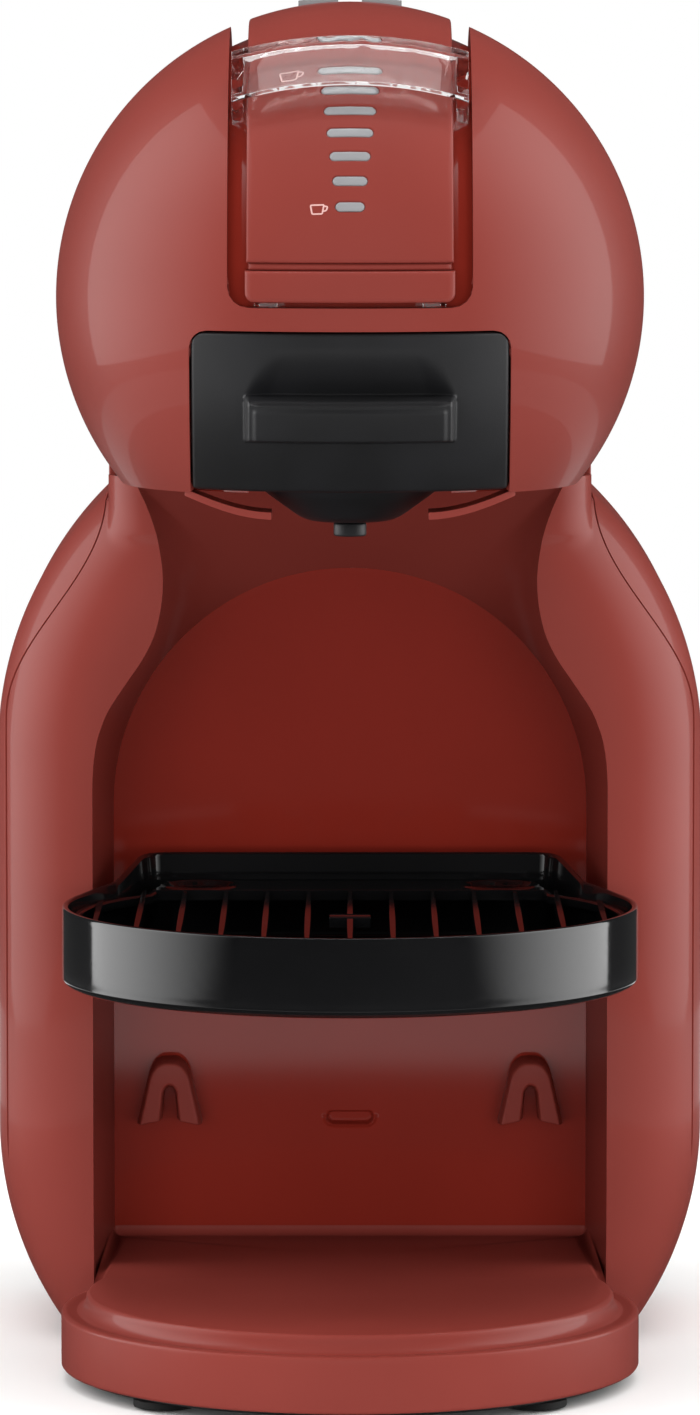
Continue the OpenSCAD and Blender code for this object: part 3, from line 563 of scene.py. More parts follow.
def make_band(head):
    """Control band: the ball's own surface between the groove's sides, with slots pressed in for the bars."""
    half = head.band_half
    edge = half - np.array([0, 0.08, 0.25, 0.5])
    inner = np.linspace(-10, 10, 121)
    columns = np.concatenate([-edge, np.linspace(-edge[-1], -10, 14)[1:-1], inner,
                              np.linspace(10, edge[-1], 14)[1:-1], edge[::-1]])
    share = np.concatenate([[0, 0.0008, 0.0026, 0.005], np.linspace(0.01, 0.56, 330), np.linspace(0.57, 1, 60)])
    x, s = np.meshgrid(columns, share, indexing="ij")
    start = turn_at(head.band_low_z, x, head.radius, head)
    turn = start + (back_turn(x, head.radius, head) - start) * s
    rim = np.array([1.0, 0.45, 0.12, 0.0]) * 0.5
    side_drop = np.interp(half - np.abs(x), [0, 0.08, 0.25, 0.5], rim)
    low_drop = np.interp((turn - start) * head.radius, [0, 0.08, 0.25, 0.5], rim)
    drop = np.maximum(side_drop, low_drop)
    for a, b, level in bar_sizes(head):
        away = slot_distance(x, (turn - level) * head.radius, a + 0.1, b + 0.1)
        drop = np.maximum(drop, 0.55 * smooth_step(-away / 0.35 + 0.3))
    top = on_ball(x, turn, head.radius - drop, head)
    back_r = head.groove_r + 0.4
    start = turn_at(head.band_low_z, x, back_r, head)
    turn = start + (back_turn(x, back_r, head) - start) * s
    bottom = on_ball(x, turn, back_r, head)
    finish(build("control_band", slab(top, bottom)), ["control_panel"], angle=50)


def bar_sizes(head):
    """Half length, half height and angle of each light bar, longer and a little taller towards the top."""
    steps = np.arange(head.bar_count)
    return zip(3.15 + 0.62 * steps, 1.05 + 0.02 * steps, np.radians(head.bar_first + head.bar_step * steps))


def slot_distance(u, v, a, b):
    """Signed distance to a slot with round ends, half lengths a and b: below zero inside."""
    return np.hypot(np.maximum(np.abs(u) - (a - b), 0), v) - b


def make_bars(head):
    """Seven light bars: round-ended pillows, each ring of points drawn in and raised a little."""
    parts = []
    for a, b, level in bar_sizes(head):
        turn = np.linspace(0, 2 * math.pi, 48, endpoint=False)
        cx = (a - b) * np.sign(np.cos(turn)) * (np.abs(np.cos(turn)) > 1e-9)
        share = np.array([1.0, 1.0, 0.97, 0.88, 0.7, 0.4, 0.0])
        radius = head.radius - np.array([2.6, 0.35, 0.13, 0.0, -0.06, -0.09, -0.1])
        u = share[:, None] * (cx + b * np.cos(turn))
        v = share[:, None] * (b * np.sin(turn))
        parts.append(sheet(on_ball(u, level + v / head.radius, radius[:, None], head), wrap_v=True))
    finish(build("light_bars", parts), ["level_bars"], angle=60)


def make_icons(head):
    """Small and large cup outlines: ribbons 0.35 mm wide laid on the ball beside the first and last bars."""
    cup = [(-2.0, 1.3), (2.0, 1.3), (1.5, -1.5), (-1.5, -1.5), (-2.0, 1.3)]
    ear = [(-2.0, 0.9), (-3.1, 0.7), (-2.7, -0.5), (-1.7, -0.7)]
    for name, level, x0, size in (("small_cup_mark", 19.0, -7.0, 0.72), ("large_cup_mark", 50.0, -13.0, 1.0)):
        parts = []
        for line in (cup, ear):
            path = rounded_path(line, 0.35, 4) * size
            step = np.gradient(path, axis=0)
            side = np.stack([-step[:, 1], step[:, 0]], -1)
            side = side / np.linalg.norm(side, axis=1, keepdims=True) * 0.17
            ring = np.stack([path + side, path - side], axis=1)
            u, v = x0 - ring[..., 0], ring[..., 1]
            up = math.radians(level) + v / head.radius
            parts += slab(on_ball(u, up, head.radius + 0.05, head), on_ball(u, up, head.radius - 0.3, head))
        finish(build(name, parts), ["control_panel"], "icon_print", replaces=False)


def make_trim_and_lip(head):
    """Thin trim line and the pillow lip below the band: both widths of ball carried over a rounded section."""
    def strip(z0, z1, half, corner, crown, inner):
        v = np.concatenate([[0, 0.02, 0.06], np.linspace(0.12, 0.88, 15), [0.94, 0.98, 1]])
        u = np.concatenate([[-1, -0.997, -0.99], np.linspace(-0.975, 0.975, 41), [0.99, 0.997, 1]])
        uu, vv = np.meshgrid(u, v, indexing="ij")
        z = z0 + (z1 - z0) * vv
        inset = corner - np.sqrt(np.maximum(corner ** 2 - np.maximum(corner - (z - z0), 0) ** 2, 0))
        x = uu * (half - inset)
        edge = np.minimum(np.minimum(vv, 1 - vv) * (z1 - z0), (1 - np.abs(uu)) * half)
        bulge = crown - 0.55 * (1 - np.clip(edge / 0.6, 0, 1)) ** 2

        def at(r):
            return np.stack([x, head.y - np.sqrt(r ** 2 - x ** 2 - (z - head.z) ** 2), z], -1)

        return slab(at(bulge), at(np.full_like(x, inner)))

    trim = build("panel_trim_line", strip(head.trim_low_z, head.band_low_z - 0.12, head.band_half - 0.4, 0.4,
                                          head.radius - 0.5, head.groove_r + 0.4))
    finish(trim, ["panel_trim"], angle=60)
    lip = build("panel_lip_pillow", strip(head.lip_low_z, head.trim_low_z - 0.1, head.band_half + 0.3, 2.0,
                                          head.radius + 0.6, head.groove_r + 0.4))
    finish(lip, ["panel_lip"], angle=60)


# ------------------------------------------------------------------ shells


def seam_x(z, shell):
    """Half width of the front shell at a height: a cosine S from the neck out to the wings."""
    t = np.clip((shell.neck_top_z - 5 - z) / 50, 0, 1)
    wide, slim = shell.body_r - 2.2, shell.hood_half
    return (slim + wide) / 2 + 0.3 - (wide - slim - 0.6) / 2 * np.cos(math.pi * t)


def front_inset(x, z, shell):
    """How far inside the body's round-ended outline a point of the front view lies."""
    spine = np.clip(z, shell.low_z, shell.high_z)
    return shell.body_r - np.hypot(x, z - spine)


def face_y(x, z, shell):
    """Depth of the front shell's face: the lower of the body's rounded edge and the neck's, blended."""
    r = shell.front_round
    d = np.clip(front_inset(x, z, shell), 0, r)
    body = shell.front_y + r - np.sqrt(np.maximum(r ** 2 - (r - d) ** 2, 0))
    nr = shell.neck_round
    dn = np.clip(shell.hood_half - np.abs(x), 0, nr)
    neck = shell.front_y + 1 + nr - np.sqrt(np.maximum(nr ** 2 - (nr - dn) ** 2, 0))
    neck = neck + np.maximum(0, shell.neck_low_z - z) * 0.8
    k = 5.0
    h = np.clip(0.5 + 0.5 * (neck - body) / k, 0, 1)
    return np.minimum(neck + (body - neck) * h - k * h * (1 - h), shell.seam_y + 0 * x)


def niche_x(z):
    """Half width of the cup space at the shell's face, from the foot up to the neck."""
    heights = [0, 128, 133, 138, 144, 150, 156, 161, 166, 170.5, 175, 179, 184, 189, 193, 197]
    widths = [57.9, 57.9, 57.6, 56.8, 54.6, 50.6, 46.4, 43.9, 42.6, 42.0, 41.9, 42.4, 43.3, 45.0, 46.8, 48.9]
    fine = np.interp(z, heights, widths)
    return (fine + np.interp(z - 1.5, heights, widths) + np.interp(z + 1.5, heights, widths)) / 3


def make_front_shell(shell):
    """Front shell: wings and neck as a face over x and height, the cup space ruled from the face's inner
    edge to the arch of the back wall, and the back wall with its small pocket."""
    heights = np.concatenate([np.linspace(shell.cut_z, 120, 50), np.linspace(122, shell.neck_top_z, 90)])
    inner = niche_x(heights)
    spread = np.concatenate([[0, 0.02, 0.05], np.linspace(0.1, 0.85, 22), np.linspace(0.88, 1, 9)])
    past_end = heights - np.clip(heights, shell.low_z, shell.high_z)
    body_half = np.sqrt(np.maximum(shell.body_r ** 2 - past_end ** 2, 1))
    outer = np.minimum(seam_x(heights, shell) - 0.2, body_half - 1.2)
    outer = np.where(heights > shell.neck_low_z, np.maximum(outer, shell.hood_half - 0.1), outer)
    x = inner[:, None] + (outer - inner)[:, None] * spread
    z = heights[:, None] + 0 * x
    y = face_y(x, z, shell)
    parts = []
    ends = np.stack([inner, face_y(inner, heights, shell), heights], -1)
    for side in (-1, 1):
        parts.append(sheet(np.stack([side * x, y, z], -1)))
        rim = np.stack([side * x[:, -1], y[:, -1], z[:, -1]], -1)
        back = rim + np.array([-side * 0.6, 3.5, 0])
        parts.append(sheet(np.stack([rim, back], axis=1)))
    top_count = 70
    top_x = np.linspace(inner[-1], -inner[-1], top_count)[1:-1]
    recess = shell.neck_back_y + (ends[-1, 1] - shell.neck_back_y) * (np.abs(top_x) / inner[-1]) ** 5
    top = np.stack([top_x, recess, np.full_like(top_x, shell.neck_top_z)], -1)
    mirrored = ends[::-1] * np.array([-1, 1, 1])
    front_line = np.concatenate([ends, top, mirrored])
    straight = heights <= shell.arch_z
    legs = np.stack([np.full(straight.sum(), shell.niche_half), heights[straight]], -1)
    bend_count = len(front_line) - 2 * len(legs)
    turn = np.linspace(0, math.pi, bend_count + 2)[1:-1]
    bend = np.stack([shell.niche_half * np.cos(turn), shell.arch_z + shell.niche_half * np.sin(turn)], -1)
    rear = np.concatenate([legs, bend, legs[::-1] * np.array([-1, 1])])
    rear_line = np.stack([rear[:, 0], np.full(len(rear), shell.niche_y), rear[:, 1]], -1)
    s = np.concatenate([np.linspace(0, 0.9, 26), [0.94, 0.97, 1.0]])[:, None, None]
    lining = front_line + (rear_line - front_line) * s
    parts.append(sheet(lining))
    obj = build("front_shell_face", parts, outward=None)
    orient_towards(obj, (0, -400, 120))
    finish(obj, ["front_shell"], wall=1.4, bevel=0.7, angle=34)
    make_back_wall(shell)


def orient_towards(obj, point):
    """Turns an open skin so that most of its area looks at a point outside it."""
    body = bmesh.new()
    body.from_mesh(obj.data)
    body.normal_update()
    eye = Vector(point) * MM
    facing = sum(f.normal.dot(eye - f.calc_center_median()) * f.calc_area() for f in body.faces)
    if facing < 0:
        bmesh.ops.reverse_faces(body, faces=body.faces)
    body.to_mesh(obj.data)
    body.free()


def make_back_wall(shell):
    """Back wall of the cup space: a plate with an arched top and a small rounded finger pocket."""
    top = shell.arch_z + shell.niche_half - 0.02
    z = np.concatenate([np.linspace(shell.cut_z, 41, 14), np.linspace(41.3, 51, 50), np.linspace(52, 120, 24),
                        120 + (top - 120) * (1 - (1 - np.linspace(0.03, 1, 50)) ** 2)])
    half = np.where(z < shell.arch_z, shell.niche_half,
                    np.sqrt(np.maximum(shell.niche_half ** 2 - (z - shell.arch_z) ** 2, 0.01)))
    u = np.linspace(-1, 1, 181)
    u = 0.25 * u + 0.75 * u ** 3
    x = half[:, None] * u
    zz = z[:, None] + 0 * x
    pocket = slot_distance(x, zz - 46.4, 5.2, 1.5)
    dent = 1.3 * smooth_step(-pocket / 0.7 + 0.4) * smooth_step((47.8 - zz) / 0.5)
    raised = 0.5 * np.exp(-((pocket - 0.5) / 0.35) ** 2) * smooth_step((47.0 - zz) / 1.0)
    front = np.stack([x, shell.niche_y + dent - raised, zz], -1)
    back = np.stack([x, np.full_like(x, shell.niche_y + 3.4), zz], -1)
    # The back wall is red with painted shade
    finish(build("niche_back_wall", slab(front, back)), ["front_shell"], "red_painted_shade", angle=50, replaces=False)


def make_rear_shell(shell):
    """Rear shell: the body's round-edged profile carried round its outline from the side seam to the
    middle of the back, and the hood as the same kind of loft above it."""
    run = np.concatenate([
        np.linspace(-math.pi / 2, 0, 60, endpoint=False),
        np.linspace(0, math.pi / 2, 90),
    ])
    low_part = run < 0
    centre_z = np.where(low_part, shell.low_z, shell.high_z)
    sin, cos = np.sin(run), np.cos(run)
    radius = np.full_like(run, shell.body_r)
    for _ in range(30):
        z = centre_z + radius * sin
        radius = np.where(low_part, (shell.body_r - 2.0) + 0 * radius,
                          np.minimum(seam_x(z, shell) / np.maximum(cos, 0.05) + 0.2, shell.body_r - 0.3))
    start_d = shell.body_r - radius
    r1, r2 = shell.front_round, shell.rear_round
    t = np.linspace(0, 1, 12)
    angle = np.pi / 2 - np.arcsin(np.clip((r1 - start_d) / r1, -1, 1))
    angle = angle[:, None] * (1 - t)
    inset_a = r1 - r1 * np.cos(angle)
    depth_a = shell.front_y + r1 - r1 * np.sin(angle)
    side_y = np.linspace(shell.front_y + r1, shell.rear_y - r2, 10)[1:]
    inset_b = np.zeros((len(run), len(side_y)))
    depth_b = np.broadcast_to(side_y, inset_b.shape)
    bend = np.linspace(0, math.pi / 2, 10)[1:]
    inset_c = np.broadcast_to(r2 - r2 * np.cos(bend), (len(run), len(bend)))
    depth_c = np.broadcast_to(shell.rear_y - r2 + r2 * np.sin(bend), (len(run), len(bend)))
    rest = np.linspace(r2, shell.body_r - 0.01, 10)[1:]
    inset_d = np.broadcast_to(rest, (len(run), len(rest)))
    depth_d = np.full_like(inset_d, shell.rear_y)
    inset = np.concatenate([inset_a, inset_b, inset_c, inset_d], axis=1)
    depth = np.concatenate([depth_a, depth_b, depth_c, depth_d], axis=1)
    x = (shell.body_r - inset) * cos[:, None]
    z = centre_z[:, None] + (shell.body_r - inset) * sin[:, None]
    straight = np.linspace(shell.low_z, shell.high_z, 8)[1:-1]
    split = int(low_part.sum())
    middle_x = np.repeat((shell.body_r - inset)[split:split + 1], len(straight), 0)
    middle_z = straight[:, None] + 0 * middle_x
    middle_y = np.repeat(depth[split:split + 1], len(straight), 0)
    x = np.concatenate([x[:split], middle_x, x[split:]])
    y = np.concatenate([depth[:split], middle_y, depth[split:]])
    z = np.maximum(np.concatenate([z[:split], middle_z, z[split:]]), shell.floor_z)
    parts = [sheet(np.stack([side * x, y, z], -1)) for side in (-1, 1)]
    body = build("rear_shell_body", parts, outward=(0, 30, 100))
    finish(body, ["rear_shell"], wall=1.6, bevel=0.5, angle=40)
    make_hood(shell)


def make_hood(shell):
    """Hood: a half-round outline with a rounded rear edge, carried from the ball's back to the rear."""
    turn = np.linspace(0, math.pi, 120)
    legs = np.linspace(150, shell.head_z, 14)[:-1]
    cos = np.concatenate([np.ones(len(legs)), np.cos(turn), -np.ones(len(legs))])
    sin = np.concatenate([np.zeros(len(legs)), np.sin(turn), np.zeros(len(legs))])
    base = np.concatenate([legs, np.full(len(turn), shell.head_z), legs[::-1]])
    r = 10.0
    bend = np.linspace(0, math.pi / 2, 9)[1:]
    rear = shell.rear_y + 0.15
    depth = np.concatenate([np.linspace(shell.hood_front_y, rear - r, 14), rear - r + r * np.sin(bend),
                            np.full(8, rear)])
    inset = np.concatenate([np.zeros(14), r - r * np.cos(bend), np.linspace(r, shell.hood_half - 0.01, 9)[1:]])
    x = (shell.hood_half - inset) * cos[:, None]
    z = base[:, None] + (shell.hood_half - inset) * sin[:, None]
    y = depth + 0 * x
    finish(build("rear_shell_hood", [sheet(np.stack([x, y, z], -1))], outward=(0, 30, 200)),
           ["rear_shell"], wall=1.6, bevel=0.5, angle=40, replaces=False)


# ------------------------------------------------------------ drawer, bowl


def make_drawer(drawer, head):
    """Drawer face: a rounded window of the ball's surface, with a grip bar that stands out of it below a
    shallow bell-shaped hollow for the fingers; both are one field of heights over x and z."""
    v = np.linspace(0, 1, 150)
    u = np.linspace(-1, 1, 260)
    uu, vv = np.meshgrid(u, v, indexing="ij")
    z = drawer.low_z + (drawer.top_z - drawer.low_z) * vv
    to_edge = np.minimum(z - drawer.low_z, drawer.top_z - z)
    corner = np.where(z > head.z - 20, drawer.corner, drawer.low_corner)
    inset = corner - np.sqrt(np.maximum(corner ** 2 - np.maximum(corner - to_edge, 0) ** 2, 0))
    x = uu * (drawer.half - inset)
    skin = head.radius - 0.1
    rim = np.minimum(to_edge, drawer.half - np.abs(x))
    base_y = head.y - np.sqrt((skin - 0.5 * (1 - np.clip(rim / 0.6, 0, 1)) ** 2) ** 2 - x ** 2 - (z - head.z) ** 2)
    bar_z0, bar_z1 = drawer.grip_low_z, drawer.grip_low_z + drawer.grip_h
    crest = bar_z1 - 1.2
    across = 1 - smooth_step((np.abs(x) - drawer.grip_half + 0.9) / 1.3)
    under = smooth_step((z - bar_z0 + 0.2) / 0.8)
    above = 1 - smooth_step((z - crest - 0.2) / 1.4)
    plate = under * above * across * 0.92
    face_side = 1 - smooth_step((np.abs(x) - drawer.grip_half + 2.6) / 1.2)
    face_top = 1 - smooth_step((z - crest + 2.2) / 1.2)
    raised = plate * (1 + 0.08 * face_side * face_top)
    climb = np.clip((z - crest) / drawer.hollow_h, 0, 1)
    soft_side = 1 - smooth_step((np.abs(x) - drawer.grip_half + 5.0 + 5.0 * climb) / 6.0)
    hollow = drawer.hollow_depth * (1 - smooth_step(climb)) * soft_side * smooth_step((z - crest + 0.6) / 0.8)
    reach = drawer.grip_reach * raised - hollow
    top = np.stack([x, base_y - reach, z], -1)
    bottom = np.stack([x, head.y - np.sqrt(head.groove_r ** 2 - x ** 2 - (z - head.z) ** 2), z], -1)
    finish(build("drawer_front", slab(top, bottom)), ["drawer_face"], angle=55)


def make_bowl(drawer):
    """Bowl under the pod and its outlet: profiles turned once around the pod's axis."""
    centre = (0, drawer.pod_y)
    outer = rounded_path([(26, 221.8), (25.4, 206), (19.4, 197.0), (9.9, 190.2), (3.5, 189.75)], 2.5)
    inner = rounded_path([(1.6, 189.9), (1.7, 191.5), (8, 191.7), (16.6, 198.2), (22.6, 206.4), (22.9, 221.8)], 2.0)
    ring = np.concatenate([outer, inner])
    bowl = revolve(ring, centre, 120)
    finish(build("pod_bowl_turned", [sheet(bowl, wrap_u=True, wrap_v=True)]), ["pod_bowl"], bevel=0.3, angle=30)
    spout = rounded_path([(1.5, 189.65), (3.6, 189.65), (3.6, 186.7), (1.5, 186.7), (1.5, 189.65)], 0.5, 4)
    finish(build("outlet_spout", [sheet(revolve(spout[:-1], centre, 60), wrap_u=True, wrap_v=True)]),
           ["outlet_nozzle"], angle=40)


# -------------------------------------------------------------- base, tray


def plan_curve(radius, half, back_y, centre_y, corner, count=160):
    """Plan of a disc with a straight-sided tongue to the back: the arc, the sides and the rear corners."""
    join = math.acos(half / radius)
    arc = np.linspace(-math.pi - join, join, count)
    arc_points = np.stack([radius * np.cos(arc), centre_y + radius * np.sin(arc)], -1)
    side_start_y = centre_y + radius * math.sin(join) + 1
    rear_right = rounded_path([(half, side_start_y), (half, back_y), (0, back_y)], corner, 7)
    rear_left = rear_right[::-1] * np.array([-1, 1])
    return np.concatenate([arc_points, rear_right[:-1], rear_left[:-1]])


def carried(plan, profile, centre):
    """Carries a profile of inset and height round a closed plan; the inset runs along the plan's normals."""
    step = np.roll(plan, -1, 0) - np.roll(plan, 1, 0)
    normal = np.stack([-step[:, 1], step[:, 0]], -1)
    normal = normal / np.maximum(np.linalg.norm(normal, axis=1, keepdims=True), 1e-9)
    inward = np.where((((np.array(centre) - plan) * normal).sum(1) < 0)[:, None], -normal, normal)
    profile = np.array(profile, float)
    xy = plan[:, None, :] + inward[:, None, :] * profile[None, :, :1]
    z = np.broadcast_to(profile[:, 1], xy.shape[:2])
    return np.concatenate([xy, z[..., None]], axis=-1)


def make_base(base):
    """Base: a turned disc with a rounded rim and ledge, and the deck on it. Round the front the deck's edge
    is a cove that falls to the ledge; inside the cup space it is a fillet that climbs the walls, and the two
    profiles are mixed by depth between them."""
    disc = rounded_path([(0.01, 5.2), (base.radius - 2.4, 5.2), (base.radius - 2.4, base.low_z),
                         (base.radius - 0.5, base.low_z), (base.radius, base.low_z + 0.5),
                         (base.radius, base.disc_top - 0.3), (base.radius - 1.1, base.disc_top),
                         (base.radius - 3.2, base.disc_top - 0.2), (0.01, base.disc_top - 0.2)], 0.9)
    finish(build("base_disc", [sheet(revolve(disc, (0, base.y), 200), wrap_u=True)]), ["base_housing"],
           bevel=0.3, angle=30)
    plan = plan_curve(base.radius - 3.0, base.deck_half, base.deck_back_y, base.y, 2.0, 200)
    # The cup space narrows from the face to its back wall, and the deck narrows with it
    plan[:, 0] *= 1 - base.deck_taper * np.clip((plan[:, 1] + 18) / 43, 0, 1)
    rise = base.deck_z - base.disc_top
    t = np.linspace(0, math.pi / 2, 8)
    cove = np.stack([2.6 * np.sin(t), base.disc_top - 0.25 + (rise - 0.5) * (1 - np.cos(t))], -1)
    edge = [(2.75, base.deck_z - 0.55), (3.0, base.deck_z - 0.2), (3.5, base.deck_z)]
    open_profile = np.concatenate([[(0.4, 5.3), (0.4, base.disc_top - 0.3)], cove, edge])
    wall = carried(plan, open_profile, (0, base.y))
    fillets = []
    for reach, climb in ((base.side_fillet, base.side_climb), (base.back_fillet, base.back_fillet)):
        corner = np.stack([reach * (1 - np.cos(t)), base.deck_z + climb * (1 - np.sin(t))], -1)
        level = [(reach + k, base.deck_z) for k in (0.3, 0.7, 1.2)]
        fillets.append(carried(plan, np.concatenate([[(0, 5.3), (0, base.deck_z - 1)], corner, level]),
                               (0, base.y)))
    beside = smooth_step((base.deck_back_y - 1.0 - plan[:, 1]) / 9)[:, None, None]
    against_wall = fillets[0] * beside + fillets[1] * (1 - beside)
    # Behind the corners the rows would cross, so each stops at its own distance from the back wall
    back_inset = np.concatenate([[0, 0], base.back_fillet * (1 - np.cos(t)),
                                 base.back_fillet + np.array([0.3, 0.7, 1.2])])
    against_wall[..., 1] = np.minimum(against_wall[..., 1], base.deck_back_y - back_inset)
    under_shell = smooth_step((plan[:, 1] + 33) / 17)[:, None, None]
    wall = wall * (1 - under_shell) + against_wall * under_shell
    spine = np.stack([np.zeros(len(plan)), np.clip(plan[:, 1], base.y - 8, base.deck_back_y - 30),
                      np.full(len(plan), base.deck_z)], -1)
    lowest = spine * np.array([1, 1, 0]) + np.array([0, 0, 5.3])
    rows = np.concatenate([lowest[:, None], wall, spine[:, None]], axis=1)
    finish(build("base_deck", [sheet(rows, wrap_u=True)]), ["base_housing"], angle=40, replaces=False)


def tray_taper(y, tray):
    """Share of its width that the tray keeps at a depth: it draws in over a smooth step towards the back."""
    return 1 - tray.taper * smooth_step((y + 26) / 38)


def make_tray(tray):
    """Drip tray: one wall profile carried round its plan; the rim rises in an S towards the back plate."""
    plan = plan_curve(tray.radius, tray.tongue_half, tray.back_y, tray.y, tray.corner, 220)
    plan[:, 0] *= tray_taper(plan[:, 1], tray)
    rise = smooth_step((plan[:, 1] + 36) / 49) * tray.back_rise
    # Inset from the plan and height, in mm: up the outer face, over the rim and down the inner face
    profile = rounded_path([(2.6, 0), (1.0, 0.3), (0.02, 1.2), (0.02, 2.2), (0.01, 3.2),
                            (0.0, 15.4), (0.0, 16.4), (0.15, 17.3), (0.8, 17.5), (1.5, 17.2),
                            (1.9, 14.4), (2.2, 2.6), (4, 1.8)], 0.5, 4)
    wall = carried(plan, profile, (0, tray.y))
    share = np.clip(profile[:, 1] / 17.5, 0, 1) ** 2
    wall[..., 2] += tray.low_z + rise[:, None] * share
    none = np.zeros(len(plan))
    spine = np.stack([none, np.clip(plan[:, 1], tray.y - 6, tray.back_y - 30), none], -1)
    inner_floor = spine + np.array([0, 0, tray.low_z + 1.8])
    outer_floor = spine + np.array([0, 0, tray.low_z])
    rows = np.concatenate([outer_floor[:, None], wall, inner_floor[:, None]], axis=1)
    finish(build("drip_tray_shell", [sheet(rows, wrap_u=True)]), ["drip_tray"], angle=40)


def make_grid(tray):
    """Drip grid: a ring on the tray's plan, tapered bars across it, a cross rib and a rear plate with dishes."""
    z0, z1 = tray.grid_z, tray.grid_z + 2.1
    plan = plan_curve(tray.radius - 2.4, tray.tongue_half - 6.3, tray.back_y - 3.2, tray.y, tray.corner - 2.5, 160)
    plan[:, 0] *= tray_taper(plan[:, 1], tray)
    ring = [(0, z0), (0.0, z1 - 0.4), (0.4, z1), (1.5, z1), (1.9, z1 - 0.4), (1.9, z0)]
    parts = [sheet(carried(plan, ring, (0, tray.y)), wrap_u=True, wrap_v=True)]
    for i in range(tray.bars):
        x = (i - (tray.bars - 1) / 2) * tray.bar_pitch
        reach = math.sqrt((tray.radius - 3.2) ** 2 - x ** 2)
        y = np.linspace(tray.y - reach, -8, 30)
        half = 0.55 + 0.35 * np.sin(np.linspace(0, math.pi, 30))
        section = np.array([(-1, 0), (-0.75, 1), (0.75, 1), (1, 0)])
        xs = x + half[:, None] * section[:, 0]
        zs = z0 + 0.1 + (z1 - z0) * section[:, 1] + 0 * xs
        top = np.stack([xs, y[:, None] + 0 * xs, zs], -1)
        parts += slab(top, top * np.array([1, 1, 0]) + np.array([0, 0, z0]))
    cross = np.linspace(-4.5, 4.5, 10)
    xs, ys = np.meshgrid(cross, [-61, -60.6, -55.4, -55], indexing="ij")
    crown = z1 + 0.35 - 0.25 * (np.abs(ys + 58) > 2.8)
    parts += slab(np.stack([xs, ys, crown], -1), np.stack([xs, ys, np.full_like(xs, z0)], -1))
    plate_half = tray.tongue_half - 7.0
    xs, ys = np.meshgrid(np.linspace(-plate_half, plate_half, 150), np.linspace(-9, tray.back_y - 3.8, 60),
                         indexing="ij")
    xs = xs * tray_taper(ys, tray)
    dish = np.hypot(np.abs(xs) - 34.0, ys - 0.5)
    low_dish = 1.0 * smooth_step((8.2 - dish) / 0.8)
    lip = 0.35 * np.exp(-((dish - 8.6) / 0.5) ** 2)
    parts += slab(np.stack([xs, ys, z1 + 0.3 - low_dish + lip], -1), np.stack([xs, ys, np.full_like(xs, z0)], -1))
    finish(build("drip_grid_bars", parts), ["drip_grid"], bevel=0.25, angle=35, segments=2)


def make_hooks():
    """Four hooks: an arch-topped tongue that tapers forwards, with an open slot below."""
    hook_x = 41.5
    count = 60
    wall_y, face_y_end = 24.9, 16.2
    for name, low_z in (("lower_hooks", 45.4), ("upper_hooks", 86.8)):
        parts = []
        for side in (-1, 1):
            t = np.linspace(0, 1, count)
            outer = rounded_path([(-7.5, 0), (-4.6, 12.6), (-2.4, 15.2), (2.4, 15.2), (4.6, 12.6), (7.5, 0)], 3.2, 6)
            inner = rounded_path([(-1.7, 1.2), (-1.2, 7.8), (0, 9.0), (1.2, 7.8), (1.7, 1.2)], 1.2, 6)
            along = [np.interp(t, np.linspace(0, 1, len(c)), c[:, k]) for c in (outer, inner) for k in (0, 1)]
            rings = []
            for depth, grow in ((wall_y, 1.0), (19.4, 1.0), (16.5, 0.76), (face_y_end, 0.68)):
                mid_x, mid_z = (along[0] + along[2]) / 2, (along[1] + along[3]) / 2
                ox, oz = mid_x + (along[0] - mid_x) * grow, mid_z + (along[1] - mid_z) * grow
                ix, iz = mid_x + (along[2] - mid_x) * grow, mid_z + (along[3] - mid_z) * grow
                rings.append((depth, ox, oz, ix, iz))
            loop = [np.stack([hook_x * side + r[1], np.full(count, r[0]), low_z + r[2]], -1) for r in rings]
            loop += [np.stack([hook_x * side + r[3], np.full(count, r[0]), low_z + r[4]], -1) for r in rings[::-1]]
            band = np.stack(loop, axis=1)
            parts.append(sheet(band, wrap_v=True))
            for end in (band[0], band[-1]):
                parts.append(sheet(np.stack([end[:4], end[:3:-1]], axis=0)))
        finish(build(name, parts), ["tray_hooks"], bevel=0.4, angle=30, replaces=name == "lower_hooks")


# -------------------------------------------------------------------- tank


def tank_outline(inset, tank, count=120):
    """Plan of the tank drawn in by a distance: a flat front, rounded corners and a round back."""
    radius = tank.round - inset
    half = tank.half - inset
    middle = tank.back_y - tank.round
    join = math.acos(half / radius)
    arc = np.linspace(join, math.pi - join, count)
    back = np.stack([radius * np.cos(arc), middle + radius * np.sin(arc)], -1)
    front_y = tank.front_y + inset
    side_end_y = middle + radius * math.sin(join) - 0.5
    left = rounded_path([(-half, side_end_y), (-half, front_y), (0, front_y)], 4 - inset, 7)
    right = left[::-1] * np.array([-1, 1])
    return np.concatenate([back, left, right[1:]])


